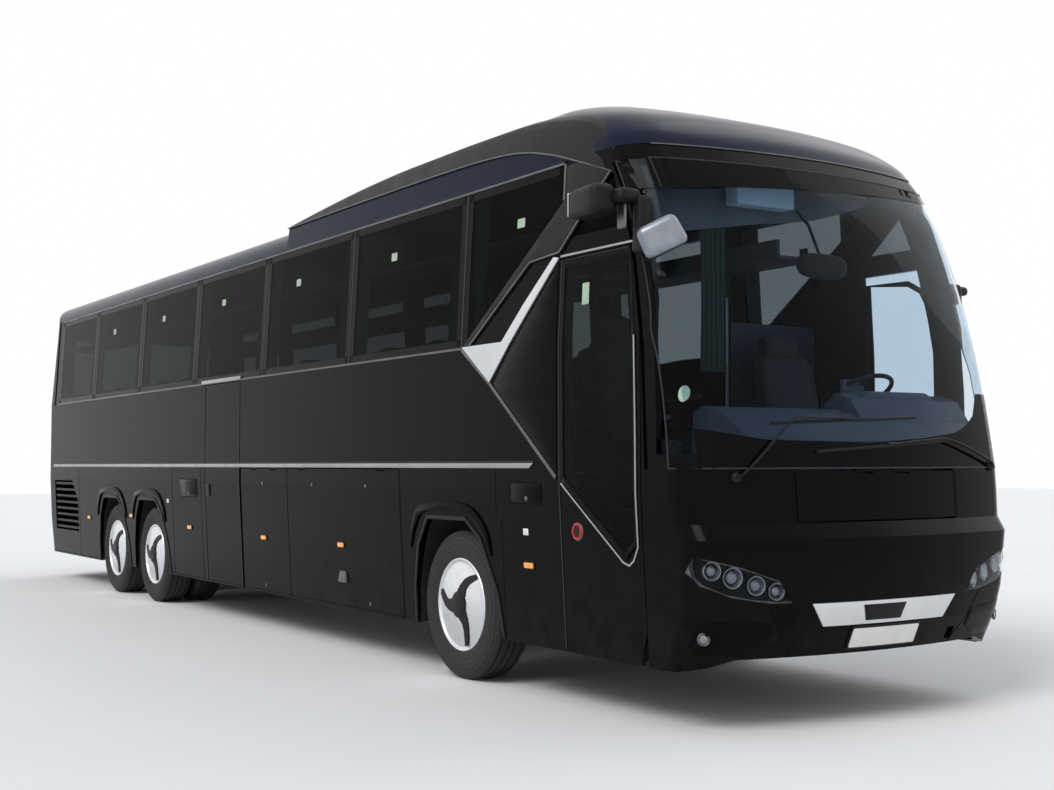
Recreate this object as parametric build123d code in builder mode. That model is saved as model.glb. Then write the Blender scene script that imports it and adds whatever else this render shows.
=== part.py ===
"""Three-axle touring coach, built as separate panels, glass, running gear, doors and flaps.

Frame: +X runs forward, +Y to the coach's left, +Z up, in millimetres. The origin is on the ground,
under the middle of the coach's length and width. Stations along the coach are given from the front
axle, positive forward, and `st()` turns a station into X.
"""
from build123d import *
from math import atan2, cos, pi, radians, sin, sqrt
import os

os.makedirs("parts", exist_ok=True)

# ---------------------------------------------------------------- driving dimensions
LENGTH = 13900
FRONT_OVERHANG = 2820
WHEELBASE = 6600
TAG_SPACING = 1360
HALF_WIDTH = 1275

SKIRT_Z = 331            # lower edge of the side panels
TUCK_Z = 1300            # the side panels lean in below this height
BELT_Z = 1445            # joint between the lower panels and the upper wall
SILL_Z = 2245            # lower edge of the side glass
CANT_Z = 3335            # upper edge of the side glass
SKIRT_HALF = HALF_WIDTH - 50      # half width at the skirt's lower edge
CANT_HALF = HALF_WIDTH - 60       # half width at the top of the side glass
ROOF_CROWN_Z = CANT_Z + 297     # top of the roof on the centre line
DOME_Z = CANT_Z + 510           # top of the front cap

WALL = 50                # body wall
GLASS = 8                # side glass
SCREEN_GLASS = 12        # windscreen
PANEL = 36               # door, flap and hatch panels
GAP = 6                  # shut line round doors and flaps
PAST = 20                # how far a cutting shape runs past what it cuts
SEAT_GAP = 0.3           # clearance between seated pieces
GLASS_SEAT = GLASS + SEAT_GAP
SCREEN_SEAT = SCREEN_GLASS + SEAT_GAP

TYRE_R = 507
TYRE_W = 290
TYRE_OUTER_Y = HALF_WIDTH - 50    # outer sidewall
TWIN_PITCH = 335         # between the two tyres of a twin wheel

DECK_Z = 1400            # passenger floor
CAB_Z = 880              # driver's floor
FLOOR_T = 30

FRONT_AXLE_X = LENGTH / 2 - FRONT_OVERHANG


def st(station):
    """X of a station measured forward from the front axle."""
    return FRONT_AXLE_X + station


DRIVE_ST = -WHEELBASE
TAG_ST = -WHEELBASE - TAG_SPACING

# the coach's side, as (height, half width)
SIDE = [(SKIRT_Z, SKIRT_HALF), (TUCK_Z, HALF_WIDTH), (SILL_Z, HALF_WIDTH), (CANT_Z, CANT_HALF)]


def half_width(z):
    """Half width of the body at height z."""
    for (z0, w0), (z1, w1) in zip(SIDE, SIDE[1:]):
        if z <= z1:
            return w0 + (w1 - w0) * (z - z0) / (z1 - z0)
    return SIDE[-1][1]


# ---------------------------------------------------------------- shared shapes
def side_points(z0, z1, outer, inner):
    """Outline, in the YZ plane, of a left-side panel from z0 to z1 between two depths."""
    heights = [z0] + [z for z, _ in SIDE if z0 < z < z1] + [z1]
    face = [(half_width(z) - outer, z) for z in heights]
    back = [(half_width(z) - inner, z) for z in reversed(heights)]
    return face + back


def side_panel(a, b, z0, z1, outer, inner, mode=Mode.ADD):
    """Left-side panel between stations a and b, drawn as its section and extruded forward."""
    with BuildSketch(Plane.YZ.offset(st(min(a, b)))) as section:
        with BuildLine():
            Polyline(*side_points(z0, z1, outer, inner), close=True)
        make_face()
    extrude(section.sketch, amount=abs(b - a), mode=mode)


def side_cut(points, depth=400, mode=Mode.SUBTRACT):
    """Prism through the left side, from an outline of (station, height) points."""
    with BuildSketch(Plane.XZ.offset(-(HALF_WIDTH + 100))) as section:
        with BuildLine():
            Polyline(*[(st(a), z) for a, z in points], close=True)
        make_face()
    extrude(section.sketch, amount=depth, mode=mode)


def block(a, b, y0, y1, z0, z1, mode=Mode.ADD):
    """Box from station a to b, y0 to y1 and z0 to z1."""
    with BuildSketch(Plane.XY.offset(z0)) as section:
        with Locations((st((a + b) / 2), (y0 + y1) / 2)):
            Rectangle(abs(b - a), abs(y1 - y0))
    extrude(section.sketch, amount=z1 - z0, mode=mode)


def box_points(a, b, z0, z1):
    """Rectangle of (station, height) points."""
    return [(a, z0), (b, z0), (b, z1), (a, z1)]


def save(part, name):
    """Label a finished piece and write its STEP file."""
    part.label = name
    export_step(part, f"parts/{name}.step")


def save_pair(part, name, sides=("right", "left")):
    """Write a piece built on the left side, and its mirror image on the right."""
    for side in sides:
        save(part if side == "left" else mirror(part, about=Plane.XZ), f"{name}_{side}")


# ---------------------------------------------------------------- the two ends
# Level sections of the front, as (height, nose station, sagitta, corner radius)
NOSE = {
    331: (2650, 200, 230), 560: (2755, 200, 230), 720: (2795, 200, 225), 1055: (2820, 200, 220),
    1140: (2762, 200, 220), 1300: (2751, 200, 220), 1440: (2742, 200, 220), 2200: (2600, 200, 230), 2900: (2385, 200, 240),
    3240: (2215, 200, 250), 3335: (2140, 200, 260),
}
# and of the rear, as (height, tail station, sagitta, corner radius)
TAIL = {
    331: (-11000, 60, 300), 780: (-11080, 60, 300), 1300: (-11073, 60, 300), 2245: (-11060, 60, 300), 3335: (-10900, 60, 250),
}
NOSE_CUT = 1330          # station where the front sections begin
TAIL_CUT = -10600        # station where the rear sections begin


def end_section(z, tip, sagitta, radius, cut, inset, width=None):
    """Level section of the body's end: two straight sides, two corner arcs and a shallow arc."""
    way = 1 if tip > cut else -1
    w = (width or half_width(z)) - inset
    reach = abs(tip - cut) - inset
    bow = (w * w + sagitta * sagitta) / (2 * sagitta)
    r = max(radius - inset, 20)
    yc = w - r
    xc = reach - bow + sqrt((bow - r) ** 2 - yc * yc)
    turn = atan2(yc, xc - (reach - bow))
    mid = (pi / 2 + turn) / 2

    def at(x, y):
        return (st(cut + way * x), y)

    touch = (xc + r * cos(turn), yc + r * sin(turn))
    knee = (xc + r * cos(mid), yc + r * sin(mid))
    with BuildSketch(Plane.XY.offset(z)) as section:
        with BuildLine():
            Line(at(0, -w), at(xc, -w))
            ThreePointArc(at(xc, -w), at(knee[0], -knee[1]), at(touch[0], -touch[1]))
            ThreePointArc(at(touch[0], -touch[1]), at(reach, 0), at(*touch))
            ThreePointArc(at(*touch), at(*knee), at(xc, w))
            Line(at(xc, w), at(0, w))
            Line(at(0, w), at(0, -w))
        make_face()
    return section.sketch


def at_level(table, z):
    """Nose or tail station, sagitta and corner radius at any height of an end's table."""
    levels = sorted(table)
    for low, high in zip(levels, levels[1:]):
        if low <= z <= high:
            share = (z - low) / (high - low)
            return [a + (b - a) * share for a, b in zip(table[low], table[high])]


def end_block(table, cut, z0, z1, inset):
    """Solid end of the body between two heights, set in from the outer face."""
    levels = [z0] + [z for z in sorted(table) if z0 < z < z1] + [z1]
    faces = [end_section(z, *at_level(table, z), cut, inset) for z in levels]
    return loft(faces, ruled=True)


def end_skin(table, cut, z0, z1, outer, inner):
    """Shell of the body's end between two depths."""
    return end_block(table, cut, z0, z1, outer) - end_block(table, cut, z0, z1, inner)


# ---------------------------------------------------------------- stations of the side's openings
PILLARS = [1330, 120, -1660, -3440, -5220, -7000, -8780, -10400]    # joints between the side panes
PILLAR_HALF = 60                                                     # half width of a window pillar

FRONT_DOOR = (1310, 2130)      # rear and front edge of the passenger door
FRONT_DOOR_TOP = 2720
MID_DOOR = (-4920, -3980)
MID_DOOR_TOP = 2235
ARCH_EDGE = -800               # rear edge of the panel behind the front wheel
BAY_REAR = -5850               # rear end of the luggage bays
RIGHT_FLAPS = {"rear": (-3950, -2880), "front": (-2880, ARCH_EDGE)}
LEFT_FLAPS = {"rear": (BAY_REAR, -4300), "middle": (-4300, -2880), "front": (-2880, ARCH_EDGE)}

ARCH = [(-600, SKIRT_Z - 40), (-600, 600), (-530, 900), (-380, 1095), (150, 1100),
        (340, 975), (540, 620), (600, 330), (600, SKIRT_Z - 40)]    # wheel opening, from its axle

# outline of the windscreen's side edge, as (station, height), bottom to top
SCREEN_EDGE = [(2165, 1440), (2135, 2200), (2050, 2620), (1990, 2800), (1890, 3090), (1800, 3240)]
SCREEN_TOP = 3240
BUMPER_TOP = 1140              # top of the bumper's lip
SCREEN_Z = 1440                # lower edge of the windscreen
BUMPER_REAR = 2135             # where the bumper's ends meet the side panels

HINGE_PIN_R = 4
HINGE_EYE_R = 8
HINGE_FIT = 0.05
HINGE_DROP = 14                # hinge line below the upper wall's lower edge
HINGE_LEN = 120
HINGE_INSET = 300              # hinges from a flap's two ends


def hinge_stations(a, b):
    """Stations of the two hinges on a flap from a to b."""
    return (a + HINGE_INSET, b - HINGE_INSET)


HINGE_Y = HALF_WIDTH - HINGE_EYE_R
HINGE_Z = BELT_Z - HINGE_DROP


def flap_panel(a, b):
    """Left-side luggage flap: a panel with notches for the hinge eyes, and a pin across each."""
    side_panel(a + GAP, b - GAP, SKIRT_Z, HINGE_Z, 0, PANEL)
    block(a + 60, b - 60, half_width(700) - PANEL - 26, half_width(700) - PANEL, 500, 560)
    for s in hinge_stations(a, b):
        block(s - HINGE_LEN / 2 - GAP, s + HINGE_LEN / 2 + GAP, HINGE_Y - 80, HALF_WIDTH + 10,
              HINGE_Z - HINGE_EYE_R - GAP, HINGE_Z + 20, mode=Mode.SUBTRACT)
        with BuildSketch(Plane.YZ.offset(st(s - HINGE_LEN / 2 - GAP - 20))) as section:
            with Locations((HINGE_Y, HINGE_Z)):
                Circle(HINGE_PIN_R)
        extrude(section.sketch, amount=HINGE_LEN + 2 * GAP + 40)


def flap_eyes(a, b):
    """Left-side hinge eyes that hang from the upper wall over a flap's pins."""
    for s in hinge_stations(a, b):
        with BuildSketch(Plane.YZ.offset(st(s - HINGE_LEN / 2))) as section:
            with Locations((HINGE_Y, HINGE_Z)):
                Circle(HINGE_EYE_R)
            with Locations((HINGE_Y, (HINGE_Z + BELT_Z) / 2 + 2)):
                Rectangle(HINGE_EYE_R, BELT_Z - HINGE_Z + 4)
            with Locations((HINGE_Y, HINGE_Z)):
                Circle(HINGE_PIN_R + HINGE_FIT, mode=Mode.SUBTRACT)
        extrude(section.sketch, amount=HINGE_LEN)


# The doors swing out and along the side on a post with two cranked arms; the door stays parallel.
DOOR_POST_Y = HALF_WIDTH - 155
DOOR_POST_R = 20
DOOR_ARM = (405, 40)           # from the post to the door's pivot, along the coach and outward
DOOR_ELBOW = (97, -139)        # from the post to the arm's bend
DOOR_ARM_W = 36
DOOR_ARM_T = 30
DOOR_PIVOT_R = 10
DOOR_POST_FOOT = 352
FRONT_POST = 2055
FRONT_ARMS = (665, 2560)
FRONT_POST_TOP = FRONT_DOOR_TOP + 45
MID_POST = MID_DOOR[0] + 75
MID_ARMS = (665, 2120)
MID_POST_TOP = MID_DOOR_TOP + 65

# ---------------------------------------------------------------- side walls and side glass


def wall_shell():
    """Left-side upper wall: full depth below the glass, set back behind it."""
    side_panel(TAIL_CUT, NOSE_CUT, BELT_Z, CANT_Z, 0, WALL)
    set_back = [(TAIL_CUT, SILL_Z), (120, SILL_Z), (1330, 3050), (NOSE_CUT + 1, 3050),
                (NOSE_CUT + 1, CANT_Z + 1), (TAIL_CUT, CANT_Z + 1)]
    with BuildSketch(Plane.YZ.offset(st(TAIL_CUT))) as section:
        with BuildLine():
            Polyline(*side_points(SILL_Z, CANT_Z, -20, GLASS_SEAT), close=True)
        make_face()
    cut = extrude(section.sketch, amount=NOSE_CUT - TAIL_CUT, mode=Mode.PRIVATE)
    with BuildSketch(Plane.XZ.offset(-(HALF_WIDTH + 60))) as section:
        with BuildLine():
            Polyline(*[(st(a), z) for a, z in set_back], close=True)
        make_face()
    keep = extrude(section.sketch, amount=200, mode=Mode.PRIVATE)
    add(cut & keep, mode=Mode.SUBTRACT)
    for front, rear in zip(PILLARS[1:], PILLARS[2:]):
        side_cut(box_points(rear + PILLAR_HALF, front - PILLAR_HALF, SILL_Z + 70, CANT_Z - 70))
    side_cut([(PILLARS[1] + PILLAR_HALF + 40, SILL_Z + 110), (1250, 3040), (1250, CANT_Z - 70),
              (PILLARS[1] + PILLAR_HALF, CANT_Z - 70)])


with BuildPart() as side_wall_left:
    wall_shell()
    for a, b in LEFT_FLAPS.values():
        flap_eyes(a, b)
save(side_wall_left.part, "side_wall_left")

with BuildPart() as side_wall_mirror:
    wall_shell()
    for a, b in RIGHT_FLAPS.values():
        flap_eyes(a, b)
    side_cut(box_points(MID_DOOR[0] - GAP, MID_DOOR[1] + GAP, BELT_Z - 10, MID_DOOR_TOP + GAP))
    side_cut(box_points(FRONT_DOOR[0] - GAP, NOSE_CUT + PAST, BELT_Z - 10, FRONT_DOOR_TOP + GAP))
    block(MID_POST - 35, MID_POST + 35, DOOR_POST_Y - 35, HALF_WIDTH - WALL / 2, MID_POST_TOP - 25, MID_POST_TOP)
    with BuildSketch(Plane.XY.offset(MID_POST_TOP - 30)) as section:
        with Locations((st(MID_POST), DOOR_POST_Y)):
            Circle(DOOR_POST_R + HINGE_FIT)
    extrude(section.sketch, amount=40, mode=Mode.SUBTRACT)
side_wall_right = mirror(side_wall_mirror.part, about=Plane.XZ)
save(side_wall_right, "side_wall_right")

PANE_GAP = 8                   # joint between two side panes


with BuildPart() as pane_band:
    for front, rear in zip(PILLARS[1:], PILLARS[2:]):
        side_panel(rear + PANE_GAP / 2, front - PANE_GAP / 2, SILL_Z + PANE_GAP, CANT_Z, 0, GLASS)
    side_panel(PILLARS[1] + PANE_GAP / 2, PILLARS[0], SILL_Z + PANE_GAP, CANT_Z, 0, GLASS)
    side_cut([(PILLARS[1] - 10, SILL_Z - 1), (PILLARS[0], 3070), (PILLARS[0] + 10, SILL_Z - 1)])

# ---------------------------------------------------------------- roof
ROOF_REAR = -10900
ROOF_FRONT = 400
ROOF_T = 40
SHOULDER = (CANT_HALF - 55, CANT_Z + 120)
ROOF_EDGE = (CANT_HALF - 215, CANT_Z + 215)


def roof_section(x, drop):
    """Section of the roof at x, lowered and narrowed by drop."""
    with BuildSketch(Plane.YZ.offset(x)) as section:
        with BuildLine():
            Line((-CANT_HALF + drop, CANT_Z), (CANT_HALF - drop, CANT_Z))
            ThreePointArc((CANT_HALF - drop, CANT_Z), (SHOULDER[0] - drop, SHOULDER[1]),
                          (ROOF_EDGE[0] - drop / 2, ROOF_EDGE[1] - drop))
            ThreePointArc((ROOF_EDGE[0] - drop / 2, ROOF_EDGE[1] - drop), (0, ROOF_CROWN_Z - drop),
                          (-ROOF_EDGE[0] + drop / 2, ROOF_EDGE[1] - drop))
            ThreePointArc((-ROOF_EDGE[0] + drop / 2, ROOF_EDGE[1] - drop),
                          (-SHOULDER[0] + drop, SHOULDER[1]), (-CANT_HALF + drop, CANT_Z))
        make_face()
    return section.sketch


def roof_block(rear, front):
    """Solid roof between two stations, with its tail rounded in plan and raked in side view."""
    body = extrude(roof_section(st(rear) - PAST, 0), amount=front - rear + PAST)
    plan = extrude(end_section(CANT_Z, *TAIL[CANT_Z], TAIL_CUT + 300, 0, CANT_HALF + 3), amount=400 + PAST)
    with BuildSketch(Plane.XZ.offset(-HALF_WIDTH - PAST)) as rake:
        with BuildLine():
            Polyline((st(rear), CANT_Z - 2 * PAST), (st(rear), CANT_Z + 40),
                     (st(rear) + 90, CANT_Z + 160), (st(rear) + 240, ROOF_CROWN_Z + 2 * PAST),
                     (st(TAIL_CUT) + 400, ROOF_CROWN_Z + 2 * PAST), (st(TAIL_CUT) + 400, CANT_Z - 2 * PAST),
                     close=True)
        make_face()
    tail = (Pos(0, 0, -PAST) * plan) & extrude(rake.sketch, amount=2 * (HALF_WIDTH + PAST))
    waste = Box(400, 3 * HALF_WIDTH, 600).moved(Location((st(TAIL_CUT) - 200, 0, CANT_Z + 100))) - tail
    return body - waste


ROOF_VOID_REAR = -10680
roof_void = extrude(roof_section(st(ROOF_VOID_REAR), ROOF_T), amount=ROOF_FRONT + 100 - ROOF_VOID_REAR)
roof_shell = roof_block(ROOF_REAR, ROOF_FRONT) - roof_void
save(roof_shell, "roof")

# ---------------------------------------------------------------- front cap above the windscreen
# Level sections of the dome, as (height, nose station, sagitta, corner radius, half width)
DOME_CUT = ROOF_FRONT + SEAT_GAP
DOME = [
    (CANT_Z, 2140, 200, 260, CANT_HALF),
    (CANT_Z + 115, 2030, 200, 300, CANT_HALF - 38),
    (CANT_Z + 265, 1760, 190, 340, CANT_HALF - 132),
    (CANT_Z + 405, 1370, 170, 380, CANT_HALF - 295),
    (DOME_Z, 960, 120, 400, CANT_HALF - 575),
]
DOME_T = 40


def dome_block(cut, inset, drop):
    """Solid dome from its level sections, set in sideways and lowered."""
    faces = []
    for z, tip, sagitta, radius, width in DOME:
        level = z if z == CANT_Z else z - drop
        faces.append(end_section(level, tip, sagitta, radius, cut, inset, width))
    return loft(faces, ruled=True)


dome_shell = dome_block(DOME_CUT, 0, 0) - dome_block(DOME_CUT + DOME_T, DOME_T, DOME_T)
dome_way = extrude(roof_section(st(DOME_CUT) - 1, ROOF_T), amount=DOME_T + 2)
save(dome_shell - dome_way, "front_dome")

# ---------------------------------------------------------------- front frame and windscreen
APERTURE = [(2260, 1520), (2255, 1930), (2225, 2380), (2125, 2790), (2040, 3040), (2010, 3150),
            (3000, 3150), (3000, 1520)]     # opening behind the glass, as (station, height)
# the driver's window and the small panes above both doors: glass, then the hole behind it
CAB_PANE = [(1370, 1460), (2095, 1460), (2095, 2195), (2020, 2590), (1985, 2740), (1960, 2820), (1370, 2820)]
CAB_HOLE = [(1430, 1520), (2050, 1520), (2050, 2190), (1972, 2570), (1930, 2760), (1430, 2760)]
TOP_PANE = [(1370, 2850), (1940, 2850), (1820, 3180), (1740, 3215)]
TOP_HOLE = [(1490, 2900), (1890, 2900), (1790, 3140), (1745, 3150)]
FRONT_FLAP_HALF = 640
FRONT_FLAP_GAP = 12            # shut line below the front flap
FRONT_HINGE_Y = (-150, 150)
FRONT_HINGE_X = st(NOSE[1440][0]) - HINGE_EYE_R - 3
FRONT_HINGE_Z = SCREEN_Z - 16


def across(points, half=1500, grow=0):
    """Prism right across the coach, from an outline of (station, height) points."""
    with BuildSketch(Plane.XZ.offset(-half)) as outline:
        with BuildLine():
            Polyline(*[(st(a), z) for a, z in points], close=True)
        make_face()
        if grow:
            offset(amount=grow, kind=Kind.INTERSECTION, mode=Mode.REPLACE)
    return extrude(outline.sketch, amount=2 * half, mode=Mode.PRIVATE)


def ahead(points, a, b):
    """Prism from station a to b, from an outline of (y, height) points."""
    with BuildSketch(Plane.YZ.offset(st(a))) as outline:
        with BuildLine():
            Polyline(*points, close=True)
        make_face()
    return extrude(outline.sketch, amount=b - a, mode=Mode.PRIVATE)


def both_sides(points):
    """The same (y, height) outline on the other side."""
    return [(-y, z) for y, z in points]


def box(a, b, y0, y1, z0, z1):
    """Loose box from station a to b, y0 to y1 and z0 to z1."""
    return Pos(st((a + b) / 2), (y0 + y1) / 2, (z0 + z1) / 2) * Box(abs(b - a), abs(y1 - y0), z1 - z0)


screen_zone = across(SCREEN_EDGE + [(3000, SCREEN_TOP), (3000, SCREEN_Z)])
door_zone = box(FRONT_DOOR[0] - GAP, FRONT_DOOR[1] + GAP, -1400, -1100, SKIRT_Z - PAST, FRONT_DOOR_TOP + GAP)
door_zone = door_zone - screen_zone
front_frame = end_skin(NOSE, NOSE_CUT, BUMPER_TOP, CANT_Z, 0, WALL)
front_frame = front_frame - (end_skin(NOSE, NOSE_CUT, SCREEN_Z, SCREEN_TOP, -PAST, SCREEN_SEAT) & screen_zone)
front_frame = front_frame - across(APERTURE) - door_zone
pane_recess = end_skin(NOSE, NOSE_CUT, SCREEN_Z, 3300, -PAST, GLASS_SEAT)
left_half = box(0, 3000, 0, 1500, 0, 4000)
for seat in ((across(CAB_PANE, grow=SEAT_GAP) & left_half), across(TOP_PANE, grow=SEAT_GAP)):
    front_frame = front_frame - (pane_recess & seat)
front_frame = front_frame - (across(CAB_HOLE) & left_half) - across(TOP_HOLE)
front_frame = front_frame - box(2400, 3000, -FRONT_FLAP_HALF, FRONT_FLAP_HALF, BUMPER_TOP - 1, SCREEN_Z - 2)
front_frame = front_frame + box(2600, 2668, -FRONT_FLAP_HALF - 50, FRONT_FLAP_HALF + 50, BUMPER_TOP, BUMPER_TOP + 40)
side_low = end_skin(NOSE, NOSE_CUT, SKIRT_Z, BUMPER_TOP, 0, WALL) & box(NOSE_CUT, BUMPER_REAR, -1400, 1400, 0, 2000)
front_frame = front_frame + (side_low - door_zone)
for y in FRONT_HINGE_Y:
    with BuildPart() as eye:
        with BuildSketch(Plane.XZ.offset(-y - HINGE_LEN / 2)) as plate:
            with Locations((FRONT_HINGE_X, FRONT_HINGE_Z)):
                Circle(HINGE_EYE_R)
            with Locations((FRONT_HINGE_X, FRONT_HINGE_Z + 7)):
                Rectangle(2 * HINGE_EYE_R, 14)
            with Locations((FRONT_HINGE_X - 20, FRONT_HINGE_Z + 11)):
                Rectangle(46, 6)
            with Locations((FRONT_HINGE_X, FRONT_HINGE_Z)):
                Circle(HINGE_PIN_R + HINGE_FIT, mode=Mode.SUBTRACT)
        extrude(amount=HINGE_LEN)
    front_frame = front_frame + eye.part
post_bearing = box(FRONT_POST - 35, FRONT_POST + 35, -HALF_WIDTH + 45, -DOOR_POST_Y + 35,
                   FRONT_POST_TOP - 25, FRONT_POST_TOP)
front_post_hole = Pos(st(FRONT_POST), -DOOR_POST_Y, 1500) * Cylinder(DOOR_POST_R + HINGE_FIT, 3000)
front_frame = (front_frame + post_bearing) - front_post_hole
save(front_frame, "front_frame")

pane_skin_front = end_skin(NOSE, NOSE_CUT, SCREEN_Z, 3300, 0, GLASS)
cab_panes = (pane_skin_front & across(CAB_PANE) & left_half).solids()
cab_panes += (pane_skin_front & across(TOP_PANE)).solids()

windscreen = end_skin(NOSE, NOSE_CUT, SCREEN_Z, SCREEN_TOP, 0, SCREEN_GLASS) & screen_zone
save(windscreen, "windscreen")

# ---------------------------------------------------------------- front flap and bumper
front_flap = end_skin(NOSE, NOSE_CUT, BUMPER_TOP, SCREEN_Z, 0, PANEL)
flap_window = box(2300, 3000, -FRONT_FLAP_HALF + GAP, FRONT_FLAP_HALF - GAP,
                  BUMPER_TOP + FRONT_FLAP_GAP, FRONT_HINGE_Z)
front_flap = front_flap & flap_window
for y in FRONT_HINGE_Y:
    front_flap = front_flap - box(2300, 3000, y - HINGE_LEN / 2 - GAP, y + HINGE_LEN / 2 + GAP,
                                  FRONT_HINGE_Z - HINGE_EYE_R - GAP, FRONT_HINGE_Z + PAST)
    pin = Pos(FRONT_HINGE_X, y, FRONT_HINGE_Z) * Rot(90, 0, 0) * Cylinder(HINGE_PIN_R, HINGE_LEN + 60)
    front_flap = front_flap + pin
save(front_flap, "front_flap")

TOW_R = 18                     # towing sockets behind the two bumpers
TOW_FRONT = (620, 460)
TOW_FRONT_S = 2565
TOW_REAR = (380, 690)
TOW_DEPTH = 100
TOW_HATCH_HALF = 36            # half size of the opening in the bumper before a socket
HEADLAMP = [(1240, 965), (1020, 910), (780, 830), (700, 710), (830, 710), (1070, 750), (1210, 810),
            (1250, 880)]       # lamp outline, as (distance from the centre line, height)
# the bumper's lower edge rises between the wheels, as (y, height)
BUMPER_UNDER = [(-SKIRT_HALF, SKIRT_Z - PAST), (-SKIRT_HALF + 20, SKIRT_Z + 4), (-SKIRT_HALF + 260, 400),
                (SKIRT_HALF - 260, 400), (SKIRT_HALF - 20, SKIRT_Z + 4), (SKIRT_HALF, SKIRT_Z - PAST)]
bumper_front = end_skin(NOSE, NOSE_CUT, SKIRT_Z, BUMPER_TOP, 0, WALL)
bumper_front = bumper_front & box(BUMPER_REAR, 3000, -1400, 1400, 0, 2000)
lamp_front = end_skin(NOSE, NOSE_CUT, 560, BUMPER_TOP, 2, WALL)
bumper_front = bumper_front - ahead(BUMPER_UNDER, BUMPER_REAR - PAST, 3000)
for outline in (HEADLAMP, both_sides(HEADLAMP)):
    bumper_front = bumper_front - ahead(outline, BUMPER_REAR + 15, 3000)
bumper_rear = end_skin(TAIL, TAIL_CUT, SKIRT_Z, 780, 0, WALL)
for edge in (-TOW_HATCH_HALF - SEAT_GAP, TOW_HATCH_HALF):
    bumper_front = bumper_front - box(2400, 3000, TOW_FRONT[0] + edge, TOW_FRONT[0] + edge + SEAT_GAP, 0, 2000)
    bumper_rear = bumper_rear - box(-11300, -10800, TOW_REAR[0] + edge, TOW_REAR[0] + edge + SEAT_GAP, 0, 2000)
bumper_front = bumper_front - box(2400, 3000, TOW_FRONT[0] - TOW_HATCH_HALF, TOW_FRONT[0] + TOW_HATCH_HALF,
                                  TOW_FRONT[1] - TOW_HATCH_HALF, TOW_FRONT[1] + TOW_HATCH_HALF)
bumper_rear = bumper_rear - box(-11300, -10800, TOW_REAR[0] - TOW_HATCH_HALF, TOW_REAR[0] + TOW_HATCH_HALF,
                                TOW_REAR[1] - TOW_HATCH_HALF, TOW_REAR[1] + TOW_HATCH_HALF)
save(Compound(children=[*bumper_front.solids(), *bumper_rear.solids()]), "bumpers")

# ---------------------------------------------------------------- rear end
HATCH = (800, 1740)            # engine hatch, lower and upper edge
HATCH_HALF = 900
REAR_HINGE_Y = (-550, 550)
REAR_HINGE_X = st(TAIL[780][0]) + HINGE_EYE_R + 14
REAR_HINGE_Z = HATCH[1] - 18
REAR_GLASS = (2350, 3180)
REAR_GLASS_HALF = 1000

rear_wall = end_skin(TAIL, TAIL_CUT, 780, CANT_Z, 0, WALL)
rear_wall = rear_wall - box(-11300, -10700, -HATCH_HALF, HATCH_HALF, *HATCH)
glass_slot = end_skin(TAIL, TAIL_CUT, REAR_GLASS[0] - 4, REAR_GLASS[1] + 4, -PAST, GLASS_SEAT)
rear_wall = rear_wall - (glass_slot & box(-11300, -10900 + 60, -REAR_GLASS_HALF - 4, REAR_GLASS_HALF + 4, 0, 4000))
rear_wall = rear_wall - box(-11300, -10700, -REAR_GLASS_HALF + 60, REAR_GLASS_HALF - 60,
                            REAR_GLASS[0] + 60, REAR_GLASS[1] - 60)
for y in REAR_HINGE_Y:
    with BuildPart() as eye:
        with BuildSketch(Plane.XZ.offset(-y - HINGE_LEN / 2)) as plate:
            with Locations((REAR_HINGE_X, REAR_HINGE_Z)):
                Circle(HINGE_EYE_R)
            with Locations((REAR_HINGE_X, REAR_HINGE_Z + 14)):
                Rectangle(2 * HINGE_EYE_R, 28)
            with Locations((REAR_HINGE_X, REAR_HINGE_Z)):
                Circle(HINGE_PIN_R + HINGE_FIT, mode=Mode.SUBTRACT)
        extrude(amount=HINGE_LEN)
    rear_wall = rear_wall + eye.part
save(rear_wall, "rear_wall")

engine_hatch = end_skin(TAIL, TAIL_CUT, 780, 1900, 0, PANEL)
engine_hatch = engine_hatch & box(-11300, -10700, -HATCH_HALF + GAP, HATCH_HALF - GAP, HATCH[0] + GAP, REAR_HINGE_Z)
for y in REAR_HINGE_Y:
    engine_hatch = engine_hatch - box(-11300, -10900, y - HINGE_LEN / 2 - GAP, y + HINGE_LEN / 2 + GAP,
                                      REAR_HINGE_Z - HINGE_EYE_R - GAP, REAR_HINGE_Z + PAST)
    pin = Pos(REAR_HINGE_X, y, REAR_HINGE_Z) * Rot(90, 0, 0) * Cylinder(HINGE_PIN_R, HINGE_LEN + 60)
    engine_hatch = engine_hatch + pin
save(engine_hatch, "engine_hatch")

rear_pane = end_skin(TAIL, TAIL_CUT, REAR_GLASS[0] - 4, REAR_GLASS[1] + 4, 0, GLASS)
rear_pane = rear_pane & box(-11300, -10900 + 50, -REAR_GLASS_HALF, REAR_GLASS_HALF, *REAR_GLASS)
panes = [*pane_band.part.solids(), *mirror(pane_band.part, about=Plane.XZ).solids(), *rear_pane.solids(), *cab_panes]
save(Compound(children=panes), "side_glass")

# ---------------------------------------------------------------- lamps
TAIL_LAMP_Y = (960, 1100)      # tail lamps, from the centre line
TAIL_LAMP_Z = (1000, 1650)
lamps = []
for outline in (HEADLAMP, both_sides(HEADLAMP)):
    lens = lamp_front & ahead(outline, BUMPER_REAR + 15, 3000)
    lamps += lens.solids()
for way in (-1, 1):
    body = end_skin(TAIL, TAIL_CUT, *TAIL_LAMP_Z, -6, -SEAT_GAP)
    lamps += (body & box(-11300, -10850, way * TAIL_LAMP_Y[0], way * TAIL_LAMP_Y[1], *TAIL_LAMP_Z)).solids()
save(Compound(children=lamps), "lamps")

# ---------------------------------------------------------------- lower side panels
GRILLE = [(-10540, 640), (-10540, 1270), (-9700, 1270), (-9460, 1010), (-9460, 640)]
GRILLE_BARS = 8


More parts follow.
